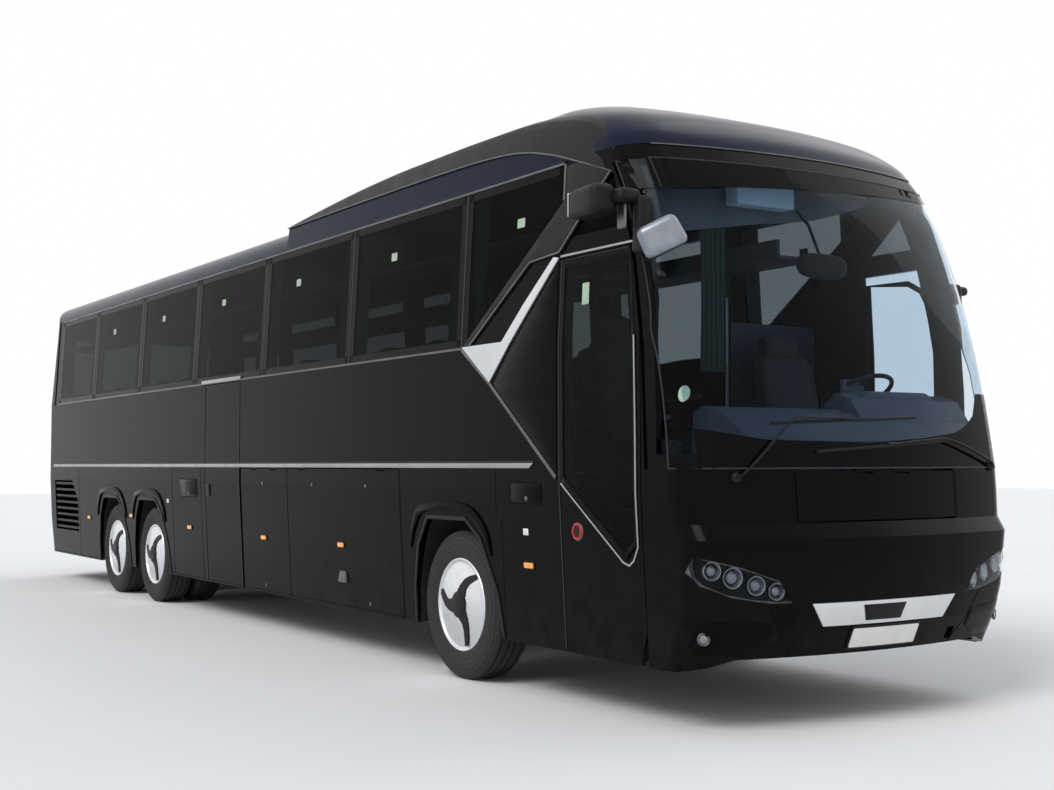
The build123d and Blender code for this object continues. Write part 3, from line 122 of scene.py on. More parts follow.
def group_tree(name: str, ins: Sequence[tuple[str, str, float]], outs: Sequence[tuple[str, str]]) -> Tree:
    """Starts a shader node group.

    Args:
        name: the group's name.
        ins: (name, socket kind, default) of each input; the default is left alone for vectors and colours.
        outs: (name, socket kind) of each output.
    Returns:
        The group's tree, with its input and output nodes first.
    """
    tree = bpy.data.node_groups.new(name, "ShaderNodeTree")
    for label, kind, value in ins:
        socket = tree.interface.new_socket(label, in_out="INPUT", socket_type=f"NodeSocket{kind}")
        if kind == "Float":
            socket.default_value = value
    for label, kind in outs:
        tree.interface.new_socket(label, in_out="OUTPUT", socket_type=f"NodeSocket{kind}")
    tree.nodes.new("NodeGroupInput")
    tree.nodes.new("NodeGroupOutput")
    return Tree(tree)


class SurfaceGroups:
    """The shared node groups: relief patterns, colour drift and road dust."""

    def __init__(self) -> None:
        """Builds every group once."""
        self.relief = {
            Effect.PEEL: self._noise("Paint peel", 2.0, 0.45, (1, 1, 1)),
            Effect.GRAIN: self._noise("Moulded grain", 4.0, 0.65, (1, 1, 1)),
            Effect.BRUSHED: self._noise("Brushed lines", 3.0, 0.6, (0.04, 1, 1)),
            Effect.WEAVE: self._weave(),
            Effect.PEBBLE: self._pebble(),
        }
        self.drift = self._drift()
        self.dust = self._dust()

    @staticmethod
    def _noise(name: str, detail: float, rough: float, stretch: Colour) -> bpy.types.NodeTree:
        """A relief group from one noise, stretched along the axes."""
        t = relief_tree(name)
        source, sink = t.tree.nodes
        placed = t.node("ShaderNodeMapping", {"Vector": source.outputs[0], "Scale": stretch})
        noise = t.node("ShaderNodeTexNoise", {"Vector": placed.outputs[0], "Scale": source.outputs[1],
                                              "Detail": detail, "Roughness": rough})
        t.tree.links.new(noise.outputs[0], sink.inputs[0])
        return t.tree

    @staticmethod
    def _weave() -> bpy.types.NodeTree:
        """A relief group of crossing threads."""
        t = relief_tree("Cloth weave")
        source, sink = t.tree.nodes
        waves = [t.node("ShaderNodeTexWave", {"Vector": source.outputs[0], "Scale": source.outputs[1],
                                              "Distortion": 0.6, "Detail Scale": 2.0},
                        bands_direction=axis).outputs[1] for axis in ("X", "Y", "Z")]
        summed = t.math("ADD", t.math("MULTIPLY", waves[0], waves[1]), t.math("MULTIPLY", waves[1], waves[2]))
        t.tree.links.new(summed, sink.inputs[0])
        return t.tree

    @staticmethod
    def _pebble() -> bpy.types.NodeTree:
        """A relief group of rounded cells, as on a leather or rubber skin."""
        t = relief_tree("Pebbled skin")
        source, sink = t.tree.nodes
        cells = t.node("ShaderNodeTexVoronoi", {"Vector": source.outputs[0], "Scale": source.outputs[1]},
                       feature="SMOOTH_F1")
        t.tree.links.new(cells.outputs[0], sink.inputs[0])
        return t.tree

    @staticmethod
    def _drift() -> bpy.types.NodeTree:
        """A slow drift between two colours, with its mask."""
        t = group_tree("Colour drift", [("Vector", "Vector", 0), ("Scale", "Float", 3), ("Base", "Color", 0),
                                        ("Other", "Color", 0)], [("Colour", "Color"), ("Mask", "Float")])
        source, sink = t.tree.nodes
        noise = t.node("ShaderNodeTexNoise", {"Vector": source.outputs[0], "Scale": source.outputs[1],
                                              "Detail": 6.0, "Roughness": 0.6})
        shares = t.node("ShaderNodeMapRange", {"Value": noise.outputs[0], "From Min": 0.38, "From Max": 0.66})
        t.tree.links.new(t.mix(shares.outputs[0], source.outputs[2], source.outputs[3]), sink.inputs[0])
        t.tree.links.new(shares.outputs[0], sink.inputs[1])
        return t.tree

    @staticmethod
    def _dust() -> bpy.types.NodeTree:
        """Road dust that thins out with height, broken up by noise."""
        t = group_tree("Road dust", [("Vector", "Vector", 0), ("Colour", "Color", 0), ("Dust", "Color", 0),
                                     ("Top", "Float", 1.2), ("Amount", "Float", 0.2)],
                       [("Colour", "Color"), ("Mask", "Float")])
        source, sink = t.tree.nodes
        height = t.node("ShaderNodeSeparateXYZ", {0: source.outputs[0]}).outputs[2]
        falling = t.node("ShaderNodeMapRange", {"Value": height, "From Min": 0.25,
                                                "From Max": source.outputs[3], "To Min": 1.0, "To Max": 0.0},
                         interpolation_type="SMOOTHSTEP")
        noise = t.node("ShaderNodeTexNoise", {"Vector": source.outputs[0], "Scale": 5.0, "Detail": 8.0,
                                              "Roughness": 0.7})
        broken = t.node("ShaderNodeMapRange", {"Value": noise.outputs[0], "From Min": 0.35, "From Max": 0.75})
        mask = t.math("MULTIPLY", t.math("MULTIPLY", falling.outputs[0], broken.outputs[0]),
                      source.outputs[4])
        t.tree.links.new(t.mix(mask, source.outputs[1], source.outputs[2]), sink.inputs[0])
        t.tree.links.new(mask, sink.inputs[1])
        return t.tree


GROUPS = SurfaceGroups()
DUST: Colour = (0.20, 0.18, 0.155)


@dataclass(frozen=True)
class Finish:
    """One finish: its colours, gloss and small-scale relief.

    The material is made the first time that it is asked for.
    """

    name: str
    colour: Colour
    other: Colour | None = None
    drift: float = 3.0
    roughness: float = 0.4
    vary: float = 0.08
    metallic: float = 0.0
    specular: float = 0.5
    coat: float = 0.0
    coat_roughness: float = 0.03
    sheen: float = 0.0
    effect: Effect = Effect.GRAIN
    scale: float = 400.0
    relief: float = 0.1
    dust: float = 0.0
    dust_top: float = 1.2
    glow: float = 0.0
    ior: float = 1.5

    def material(self) -> bpy.types.Material:
        """The finish's material, made on first use."""
        found = bpy.data.materials.get(self.name)
        if found:
            return found
        made = bpy.data.materials.new(self.name)
        made.use_nodes = True
        self.wire(Tree(made.node_tree))
        made.diffuse_color = (*self.colour, 1.0)
        return made

    def wire(self, t: Tree) -> bpy.types.Node:
        """Wires the Principled shader and what feeds it.

        Args:
            t: the material's tree.
        Returns:
            The Principled node.
        """
        shader = t.tree.nodes["Principled BSDF"]
        place = t.node("ShaderNodeTexCoord").outputs["Object"]
        other = self.other or tuple(c * 0.82 for c in self.colour)
        drift = t.node("ShaderNodeGroup", {"Scale": self.drift, "Base": (*self.colour, 1),
                                           "Other": (*other, 1), 0: place}, node_tree=GROUPS.drift)
        colour, mask = drift.outputs
        if self.dust > 0:
            dust = t.node("ShaderNodeGroup", {"Dust": (*DUST, 1), "Top": self.dust_top, "Amount": self.dust,
                                              0: place, "Colour": colour}, node_tree=GROUPS.dust)
            colour, soiled = dust.outputs
            mask = t.math("ADD", t.math("MULTIPLY", mask, self.vary), soiled)
        else:
            mask = t.math("MULTIPLY", mask, self.vary)
        t.tree.links.new(colour, shader.inputs["Base Color"])
        t.tree.links.new(t.math("ADD", mask, self.roughness), shader.inputs["Roughness"])
        relief = t.node("ShaderNodeGroup", {"Scale": self.scale, 0: place},
                        node_tree=GROUPS.relief[self.effect])
        bump = t.node("ShaderNodeBump", {"Strength": self.relief, "Distance": 0.002,
                                         "Height": relief.outputs[0]})
        t.tree.links.new(bump.outputs[0], shader.inputs["Normal"])
        for label, value in (("Metallic", self.metallic), ("IOR", self.ior),
                             ("Specular IOR Level", self.specular), ("Coat Weight", self.coat),
                             ("Coat Roughness", self.coat_roughness), ("Sheen Weight", self.sheen)):
            shader.inputs[label].default_value = value
        if self.glow > 0:
            shader.inputs["Emission Color"].default_value = (*self.colour, 1)
            shader.inputs["Emission Strength"].default_value = self.glow
        return shader


@dataclass(frozen=True)
class Glazing(Finish):
    """A see-through finish that lets lamp light into the coach."""

    ior: float = 1.45
    shade: float = 1.6

    def wire(self, t: Tree) -> bpy.types.Node:
        """Wires a glass shader mixed with a plain tint for shadow rays."""
        shader = super().wire(t)
        shader.inputs["Transmission Weight"].default_value = 1.0
        out = t.tree.nodes["Material Output"]
        clear = t.node("ShaderNodeBsdfTransparent")
        clear.inputs[0].default_value = (*[c ** self.shade for c in self.colour], 1)
        path = t.node("ShaderNodeLightPath")
        through = t.math("MAXIMUM", path.outputs["Is Shadow Ray"], path.outputs["Is Diffuse Ray"])
        mixed = t.node("ShaderNodeMixShader", {0: through, 1: shader.outputs[0], 2: clear.outputs[0]})
        t.tree.links.new(mixed.outputs[0], out.inputs[0])
        return shader


PAINT = Finish("gloss_black_paint", (0.0022, 0.0023, 0.0030), (0.0015, 0.0016, 0.0024), 0.6, 0.18, 0.05, 0.0,
               0.5, 0.06, 0.015, effect=Effect.PEEL, scale=90.0, relief=0.006, dust=0.055, dust_top=1.2,
               ior=1.10)
ROOF_PAINT = Finish("gloss_blue_black_paint", (0.0070, 0.0115, 0.0310), (0.0055, 0.0095, 0.0260), 0.6, 0.2,
                    0.05, 0.0, 0.5, 0.08, 0.015, effect=Effect.PEEL, scale=90.0, relief=0.006, dust=0.0,
                    ior=1.13)
STEEL_PAINT = Finish("chassis_paint", (0.022, 0.022, 0.024), (0.035, 0.033, 0.03), 4.0, 0.6, 0.15,
                     effect=Effect.GRAIN, scale=160.0, relief=0.25, dust=0.35, dust_top=1.1)
SIDE_GLASS = Glazing("smoked_side_glass", (0.125, 0.140, 0.146), (0.120, 0.135, 0.140), 1.0, 0.0, 0.0,
                     specular=0.4, effect=Effect.PEEL, scale=6.0, relief=0.001, ior=1.07, shade=0.5)
CLEAR_GLASS = Glazing("clear_screen_glass", (0.66, 0.75, 0.83), (0.65, 0.74, 0.82), 1.0, 0.0, 0.0,
                      specular=0.3, effect=Effect.PEEL, scale=6.0, relief=0.001, ior=1.12)
DOOR_GLASS = Glazing("smoked_door_glass", (0.30, 0.34, 0.35), (0.29, 0.33, 0.34), 1.0, 0.0, 0.0,
                     specular=0.10, effect=Effect.PEEL, scale=6.0, relief=0.001, ior=1.1)
LENS = Glazing("lamp_lens", (0.86, 0.88, 0.90), (0.84, 0.87, 0.89), 3.0, 0.0, 0.0, effect=Effect.PEEL,
               scale=20.0, relief=0.004, specular=0.3, ior=1.15)
RED_LENS = Finish("red_lamp_lens", (0.30, 0.006, 0.008), (0.22, 0.004, 0.006), 8.0, 0.12, 0.05, coat=0.6,
                  effect=Effect.GRAIN, scale=140.0, relief=0.08)
SATIN_BLACK = Finish("satin_black_plastic", (0.010, 0.010, 0.012), (0.014, 0.014, 0.015), 6.0, 0.40, 0.12,
                     effect=Effect.GRAIN, scale=700.0, relief=0.12, ior=1.25)
MATT_BLACK = Finish("matt_black_plastic", (0.015, 0.015, 0.016), (0.024, 0.023, 0.023), 6.0, 0.65, 0.15,
                    effect=Effect.GRAIN, scale=500.0, relief=0.25, dust=0.12)
DASH_SKIN = Finish("blue_grey_dash_skin", (0.055, 0.068, 0.090), (0.045, 0.056, 0.076), 3.0, 0.5, 0.1,
                   effect=Effect.PEBBLE, scale=420.0, relief=0.2)
SEAT_CLOTH = Finish("seat_cloth", (0.030, 0.036, 0.055), (0.020, 0.025, 0.040), 14.0, 0.85, 0.1, sheen=0.4,
                    effect=Effect.WEAVE, scale=260.0, relief=0.35)
CURTAIN_CLOTH = Finish("curtain_cloth", (0.42, 0.54, 0.51), (0.34, 0.45, 0.43), 6.0, 0.9, 0.05, sheen=0.5,
                       effect=Effect.WEAVE, scale=300.0, relief=0.25)
FLOOR_COVER = Finish("floor_covering", (0.045, 0.047, 0.052), (0.075, 0.077, 0.080), 60.0, 0.6, 0.1,
                     effect=Effect.GRAIN, scale=300.0, relief=0.15)
RACK_SKIN = Finish("rack_plastic", (0.30, 0.31, 0.32), (0.27, 0.28, 0.29), 3.0, 0.5, 0.08,
                   effect=Effect.GRAIN, scale=500.0, relief=0.1)
RUBBER = Finish("tyre_rubber", (0.026, 0.025, 0.024), (0.040, 0.037, 0.034), 9.0, 0.62, 0.14,
                effect=Effect.GRAIN, scale=260.0, relief=0.2, dust=0.30, dust_top=1.4)
COVER_METAL = Finish("polished_wheel_cover", (0.80, 0.81, 0.84), (0.74, 0.75, 0.78), 12.0, 0.2, 0.08,
                     metallic=1.0, effect=Effect.BRUSHED, scale=200.0, relief=0.02)
AXLE_METAL = Finish("axle_steel", (0.05, 0.05, 0.052), (0.09, 0.07, 0.05), 8.0, 0.55, 0.2, metallic=0.3,
                    effect=Effect.GRAIN, scale=120.0, relief=0.3, dust=0.3)
ENGINE_METAL = Finish("engine_iron", (0.10, 0.105, 0.11), (0.06, 0.05, 0.045), 9.0, 0.55, 0.2, metallic=0.4,
                      effect=Effect.GRAIN, scale=90.0, relief=0.4)
DOOR_METAL = Finish("door_gear_steel", (0.10, 0.10, 0.105), (0.08, 0.08, 0.085), 5.0, 0.4, 0.1, metallic=0.8,
                    effect=Effect.BRUSHED, scale=200.0, relief=0.05)

NODE_FINISH: dict[str, Finish] = {
    "underframe": STEEL_PAINT, "cabin_floor": FLOOR_COVER, "roof": ROOF_PAINT, "front_dome": ROOF_PAINT,
    "windscreen": CLEAR_GLASS, "side_glass": SIDE_GLASS, "lamps": LENS, "roof_fairings": PAINT,
    "driver_partition": DASH_SKIN,
    "roof_ac_unit": ROOF_PAINT, "mirrors": SATIN_BLACK, "wipers": MATT_BLACK, "dashboard": DASH_SKIN,
    "cab_seats": SEAT_CLOTH, "passenger_seats": SEAT_CLOTH, "luggage_racks": RACK_SKIN,
    "curtains": CURTAIN_CLOTH,
    "steering_column": SATIN_BLACK, "engine_block": ENGINE_METAL, "front_axle": AXLE_METAL,
    "drive_axle": AXLE_METAL, "tag_axle": AXLE_METAL, "front_door_glass": DOOR_GLASS,
    "front_door_arms": DOOR_METAL, "mid_door_arms": DOOR_METAL, "steering_wheel": SATIN_BLACK,
}


def dress_frame() -> None:
    """Gives every CAD node its finish, by its name or its kind."""
    for name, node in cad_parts.items():
        if name.startswith("tyre"):
            finish = RUBBER
        elif name.startswith("rim"):
            finish = COVER_METAL
        elif name.startswith("knuckle"):
            finish = AXLE_METAL
        else:
            finish = NODE_FINISH.get(name, PAINT)
        node.data.materials.clear()
        node.data.materials.append(finish.material())


# ---------------------------------------------------------------- finishes of the trim
BRIGHT_TRIM = Finish("warm_silver_trim", (0.42, 0.41, 0.39), (0.36, 0.35, 0.34), 4.0, 0.28, 0.1, metallic=1.0,
                     effect=Effect.BRUSHED, scale=260.0, relief=0.04)
DULL_TRIM = Finish("satin_dark_silver", (0.16, 0.16, 0.165), (0.12, 0.12, 0.125), 4.0, 0.36, 0.1,
                   metallic=0.9, effect=Effect.BRUSHED, scale=260.0, relief=0.04)
PIANO_BLACK = Finish("glazed_black", (0.0020, 0.0022, 0.0026), (0.0016, 0.0018, 0.0022), 1.0, 0.08, 0.03,
                     ior=1.12, coat=0.05, effect=Effect.PEEL, scale=50.0, relief=0.004)
SEAL = Finish("black_rubber_seal", (0.010, 0.010, 0.010), (0.016, 0.016, 0.016), 20.0, 0.6, 0.1,
              effect=Effect.GRAIN, scale=500.0, relief=0.15)
SHUT_LINE = Finish("shut_line_shadow", (0.0012, 0.0012, 0.0012), (0.002, 0.002, 0.002), 20.0, 0.8, 0.05,
                   specular=0.1, effect=Effect.GRAIN, scale=300.0, relief=0.1)
AMBER = Finish("amber_lens", (0.85, 0.30, 0.010), (0.75, 0.24, 0.01), 30.0, 0.15, 0.05, coat=0.5, glow=0.45,
               effect=Effect.GRAIN, scale=240.0, relief=0.1)
WHITE_PLASTIC = Finish("white_plastic", (0.80, 0.80, 0.79), (0.74, 0.74, 0.73), 8.0, 0.4, 0.1,
                       effect=Effect.GRAIN, scale=400.0, relief=0.06)
PALE_TRIM = Finish("pale_headlining", (0.42, 0.41, 0.38), (0.36, 0.35, 0.33), 5.0, 0.7, 0.1,
                   effect=Effect.PEBBLE, scale=300.0, relief=0.15)
GREY_PLASTIC = Finish("grey_plastic", (0.13, 0.135, 0.14), (0.10, 0.105, 0.11), 5.0, 0.5, 0.1,
                      effect=Effect.GRAIN, scale=400.0, relief=0.12)
LAMP_BOWL = Finish("lamp_reflector", (0.30, 0.32, 0.35), (0.20, 0.22, 0.25), 14.0, 0.16, 0.1, metallic=1.0,
                   effect=Effect.PEEL, scale=80.0, relief=0.01)
LAMP_GLASS = Finish("lamp_projector", (0.20, 0.23, 0.27), (0.14, 0.16, 0.19), 20.0, 0.06, 0.02, specular=0.8,
                    coat=1.0, effect=Effect.PEEL, scale=60.0, relief=0.004)
MIRROR_GLASS = Finish("mirror_glass", (0.40, 0.42, 0.45), (0.38, 0.40, 0.43), 2.0, 0.03, 0.01, metallic=1.0,
                      effect=Effect.PEEL, scale=20.0, relief=0.002)
PIPING = Finish("seat_piping", (0.22, 0.20, 0.15), (0.18, 0.16, 0.12), 20.0, 0.7, 0.1,
                effect=Effect.WEAVE, scale=400.0, relief=0.2)
STICKER = Finish("pale_green_sticker", (0.42, 0.55, 0.40), (0.36, 0.48, 0.35), 20.0, 0.6, 0.05,
                 effect=Effect.GRAIN, scale=400.0, relief=0.03)
BRIGHT_PANEL = Finish("bright_silver_panel", (0.72, 0.73, 0.75), (0.66, 0.67, 0.69), 3.0, 0.30, 0.08,
                      metallic=0.7, effect=Effect.BRUSHED, scale=260.0, relief=0.03)
BRUSHED_SHELL = Finish("brushed_mirror_shell", (0.30, 0.32, 0.36), (0.24, 0.26, 0.30), 6.0, 0.30, 0.1,
                       metallic=0.9, effect=Effect.BRUSHED, scale=180.0, relief=0.05)
# glow=0.1 paints a faint glow on this plastic ring, which is no lamp: painted light, not the ring's own
# colour
RED_RING_PAINTED_GLOW = Finish("red_plastic_ring_painted_glow", (0.60, 0.02, 0.02), (0.50, 0.015, 0.015), 20.0, 0.35, 0.05, glow=0.1,
                  effect=Effect.GRAIN, scale=300.0, relief=0.05)


# ---------------------------------------------------------------- the body's outer face
# (height, half width of the body), lowest first
SIDE_LEVELS = ((0.331, 1.225), (1.300, 1.275), (2.245, 1.275), (3.335, 1.215))


def between(table: Sequence[Point], x: float) -> float:
    """Straight-line value from a rising table of (x, value), held at both ends."""
    keys = [row[0] for row in table]
    i = min(max(bisect_right(keys, x), 1), len(table) - 1)
    (x0, v0), (x1, v1) = table[i - 1], table[i]
    share = min(max((x - x0) / (x1 - x0), 0.0), 1.0)
    return v0 + (v1 - v0) * share


def half_width(z: float) -> float:
    """Half width of the coach's side at a height."""
    return between(SIDE_LEVELS, z)


@dataclass(frozen=True)
class EndFace:
    """Outer face of one end of the body, from its level sections.

    levels holds (height, tip station, sagitta, corner radius, half width), lowest first, and cut is
    the station where the sides become straight.
    """

    levels: tuple[tuple[float, float, float, float, float], ...]
    cut: float

    def level(self, z: float) -> list[float]:
        """Tip station, sagitta, corner radius and half width at a height."""
        return [between([(row[0], row[i]) for row in self.levels], z) for i in range(1, 5)]

    def station(self, y: float, z: float) -> float:
        """Station of the face at a distance from the centre line and a height."""
        tip, sag, radius, w = self.level(z)
        way = 1.0 if tip > self.cut else -1.0
        reach = abs(tip - self.cut)
        bow = (w * w + sag * sag) / (2 * sag)
        yc = w - radius
        xc = reach - bow + math.sqrt((bow - radius) ** 2 - yc * yc)
        turn = math.atan2(yc, xc - (reach - bow))
        y = min(abs(y), w - 1e-4)
        if y <= yc + radius * math.sin(turn):
            local = reach - bow + math.sqrt(bow * bow - y * y)
        else:
            local = xc + math.sqrt(max(radius * radius - (y - yc) ** 2, 0.0))
        return self.cut + way * local

    def point(self, y: float, z: float, out: float = 0.0) -> Vector:
        """World point on the face, or out metres off it."""
        here = Vector((st(self.station(y, z)), y, z))
        if out == 0.0:
            return here
        step = 0.004
        across = self.point(y - step, z) - self.point(y + step, z)
        up = self.point(y, z + step) - self.point(y, z - step)
        normal = across.cross(up).normalized()
        if (normal.x > 0) != (self.levels[0][1] > self.cut):
            normal.negate()
        return here + normal * out


NOSE = EndFace(tuple((z, tip, sag, r, half_width(z)) for z, tip, sag, r in (
    (0.331, 2.650, 0.2, 0.230), (0.560, 2.755, 0.2, 0.230), (0.720, 2.795, 0.2, 0.225),
    (1.055, 2.820, 0.2, 0.220),
    (1.140, 2.762, 0.2, 0.220), (1.300, 2.751, 0.2, 0.220), (1.440, 2.742, 0.2, 0.220),
    (2.200, 2.600, 0.2, 0.230),
    (2.900, 2.385, 0.2, 0.240), (3.240, 2.215, 0.2, 0.250), (3.335, 2.140, 0.2, 0.260))), 1.33)
TAIL = EndFace(tuple((z, tip, 0.06, r, half_width(z)) for z, tip, r in (
    (0.331, -11.000, 0.3), (0.780, -11.080, 0.3), (1.300, -11.073, 0.3), (2.245, -11.060, 0.3),
    (3.335, -10.900, 0.25))), -10.6)


# ---------------------------------------------------------------- modelling
Placing = Callable[[float, float, float], Vector]


class Sided:
    """Something that belongs to one side of the coach."""

    side: int

    @property
    def word(self) -> str:
        """Name of this side."""
        return SIDE_WORDS[self.side]


def on_half(side: int, outline: Iterable[Point]) -> list[Point]:
    """Moves an end face's outline to the left (1) or right (-1) half."""
    return [(side * y, z) for y, z in outline]


def spread(a: float, b: float, count: int) -> list[float]:
    """Evenly spaced values from a to b, both of them included."""
    return [a + (b - a) * i / count for i in range(count + 1)]


def rounded(a: float, b: float, z0: float, z1: float, r: float) -> list[Point]:
    """Outline of a rectangle with rounded corners."""
    out = []
    for cx, cz, start in ((b - r, z1 - r, 0.0), (a + r, z1 - r, 0.5), (a + r, z0 + r, 1.0),
                          (b - r, z0 + r, 1.5)):
        for k in range(5):
            turn = math.pi * (start + k / 8)
            out.append((cx + r * math.cos(turn), cz + r * math.sin(turn)))
    return out


def on_side(side: int) -> Placing:
    """Places (station, height, out) on the coach's left (1) or right (-1) side."""
    return lambda s, z, out: Vector((st(s), side * (half_width(z) + out), z))


def on_nose(y: float, z: float, out: float) -> Vector:
    """Places (y, height, out) on the nose."""
    return NOSE.point(y, z, out)


def on_tail(y: float, z: float, out: float) -> Vector:
    """Places (y, height, out) on the tail."""
    return TAIL.point(y, z, out)


def on_corner(side: int) -> Placing:
    """Places (station, height, out) on the nose's side and corner, by station."""

    def place(s: float, z: float, out: float) -> Vector:
        """The side's flat part behind the corner, and the nose's face from there on."""
        w = NOSE.level(z)[3]
        low, high = 0.0, w
        if s <= NOSE.station(w, z):
            return Vector((st(s), side * (w + out), z))
        for _ in range(24):
            mid = (low + high) / 2
            low, high = (mid, high) if NOSE.station(mid, z) > s else (low, mid)
        return NOSE.point(side * low, z, out)

    return place


def finish_piece(bm: bmesh.types.BMesh, name: str, finish: Finish, body: str = MAIN_BODY,
                 smooth: float = 32.0) -> bpy.types.Object:
    """Turns a bmesh into a finished piece that rides a body.

    Args:
        bm: the geometry, in world coordinates; it is freed.
        name: the piece's name.
        finish: its finish.
        body: the CAD body that carries it.
        smooth: edges sharper than this many degrees stay crisp.
    Returns:
        The object.
    """
    bmesh.ops.remove_doubles(bm, verts=bm.verts, dist=WELD)
    bmesh.ops.recalc_face_normals(bm, faces=bm.faces)
    for face in bm.faces:
        face.smooth = True
    mesh = bpy.data.meshes.new(name)
    bm.to_mesh(mesh)
    bm.free()
    mesh.set_sharp_from_angle(angle=math.radians(smooth))
    mesh.materials.append(finish.material())
    made = bpy.data.objects.new(name, mesh)
    bpy.context.scene.collection.objects.link(made)
    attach(made, body)
    LOG.info("%-28s %6d faces  %s", name, len(mesh.polygons), finish.name)
    return made


def rim_edges(bm: bmesh.types.BMesh, degrees: float = 50.0) -> list[bmesh.types.BMEdge]:
    """Edges that turn by more than an angle."""
    return [e for e in bm.edges if len(e.link_faces) == 2 and e.calc_face_angle(0.0) > math.radians(degrees)]


def soften(bm: bmesh.types.BMesh, width: float, segments: int = 2, degrees: float = 50.0) -> None:
    """Bevels the sharp edges."""
    if width > 0:
        bmesh.ops.bevel(bm, geom=rim_edges(bm, degrees), offset=width, segments=segments, profile=0.5,
                        material=-1, affect="EDGES", clamp_overlap=True)


def plate_mesh(bm: bmesh.types.BMesh, outline: Sequence[Point], place: Placing, thick: float,
               lift: float = 0.0, cuts: tuple[Sequence[float], Sequence[float]] = ((), ())) -> None:
    """Adds a thin plate that follows a face.

    Args:
        bm: the mesh that it goes into.
        outline: its outline in the face's own two coordinates.
        place: turns those and a distance out into a world point.
        thick: its thickness.
        lift: the back's distance off the face.
        cuts: first and second coordinates to cut the plate at, so that it can bend.
    """
    before = set(bm.verts)
    made = [bm.verts.new((a, b, 0.0)) for a, b in outline]
    bm.faces.new(made)
    for axis, values in enumerate(cuts):
        for value in values:
            fresh = [v for v in bm.verts if v not in before]
            faces = {f for v in fresh for f in v.link_faces}
            edges = {e for v in fresh for e in v.link_edges}
            at = Vector((value, 0, 0)) if axis == 0 else Vector((0, value, 0))
            bmesh.ops.bisect_plane(bm, geom=[*fresh, *edges, *faces], plane_co=at, dist=1e-6,
                                   plane_no=(1, 0, 0) if axis == 0 else (0, 1, 0))
    back = [v for v in bm.verts if v not in before]
    faces = list({f for v in back for f in v.link_faces})
    grown = bmesh.ops.extrude_face_region(bm, geom=faces, use_keep_orig=True)["geom"]
    front = [v for v in grown if isinstance(v, bmesh.types.BMVert)]
    for v in front:
        v.co = place(v.co.x, v.co.y, lift + thick)
    for v in back:
        v.co = place(v.co.x, v.co.y, lift)


def steps(a: float, b: float, pitch: float) -> list[float]:
    """Evenly spaced values strictly between a and b."""
    count = max(int(math.ceil(abs(b - a) / pitch)), 1)
    return [a + (b - a) * i / count for i in range(1, count)]


# How far apart plates are cut along a face's two coordinates, so that they can bend with it.
LAMP_PITCH = (0.05, 0.05)
LINE_PITCH = (0.05, 0.07)
GLASS_PITCH = (0.06, 0.06)
WINDOW_PITCH = (0.06, 0.09)
BUMPER_PITCH = (0.09, 0.07)
BORDER_PITCH = (0.09, 0.09)
DOOR_EDGE_PITCH = (0.05, 0.08)
DOOR_PITCH = (0.05, 0.12)
BROAD_PITCH = (0.12, 0.12)
TAIL_LAMP_PITCH = (0.05, 0.1)
TAIL_PITCH = (0.1, 0.1)
CANOPY_PITCH = (0.15, 0.30)


def plate(name: str, outlines: Iterable[Sequence[Point]], place: Placing, finish: Finish, thick: float,
          lift: float = 0.0, pitch: tuple[float, float] = (9.0, 0.09), bevel: float = 0.002,
          body: str = MAIN_BODY, slot: str | None = None,
          levels: Sequence[float] = (1.3, 2.245)) -> bpy.types.Object:
    """One piece of thin plates that follow a face.

    Args:
        name: the piece's name.
        outlines: outlines in the face's two coordinates.
        place: turns those and a distance out into a world point.
        finish: the finish.
        thick: thickness of the plates.
        lift: distance of their backs off the face.
        pitch: how often they are cut along each coordinate so that they can bend.
        bevel: width of the softened edges.
        body: the CAD body that carries it.
        slot: not used.
        levels: heights where the face itself bends.
    Returns:
        The object.
    """
    bm = bmesh.new()
    for outline in outlines:
        firsts = [a for a, _ in outline]
        seconds = [b for _, b in outline]
        low, high = min(seconds), max(seconds)
        cuts_b = steps(low, high, pitch[1]) + [z for z in levels if low < z < high]
        plate_mesh(bm, outline, place, thick, lift, (steps(min(firsts), max(firsts), pitch[0]), cuts_b))
    bmesh.ops.recalc_face_normals(bm, faces=bm.faces)
    soften(bm, bevel)
    return finish_piece(bm, name, finish, body)


def strip(points: Sequence[Point], width: float) -> list[Point]:
    """Outline of a ribbon of constant width along a line of points."""
    left, right = [], []
    for i, (a, b) in enumerate(points):
        prev, after = points[max(i - 1, 0)], points[min(i + 1, len(points) - 1)]
        run, rise = after[0] - prev[0], after[1] - prev[1]
        size = math.hypot(run, rise)
        dx, dy = -rise / size * width / 2, run / size * width / 2
        left.append((a + dx, b + dy))
        right.append((a - dx, b - dy))
    return left + right[::-1]


def smooth_line(points: Sequence[Sequence[float]], count: int = 6) -> list[tuple[float, ...]]:
    """Rounds a line of points off by a Catmull-Rom curve through them."""
    out: list[tuple[float, ...]] = []
    last = len(points) - 1
    for i in range(last):
        p = [points[max(i - 1, 0)], points[i], points[i + 1], points[min(i + 2, last)]]
        for k in range(count):
            t = k / count
            out.append(tuple(0.5 * (2 * b + (c - a) * t + (2 * a - 5 * b + 4 * c - d) * t * t
                                    + (3 * b - a - 3 * c + d) * t ** 3) for a, b, c, d in zip(*p)))
    out.append(tuple(points[-1]))
    return out


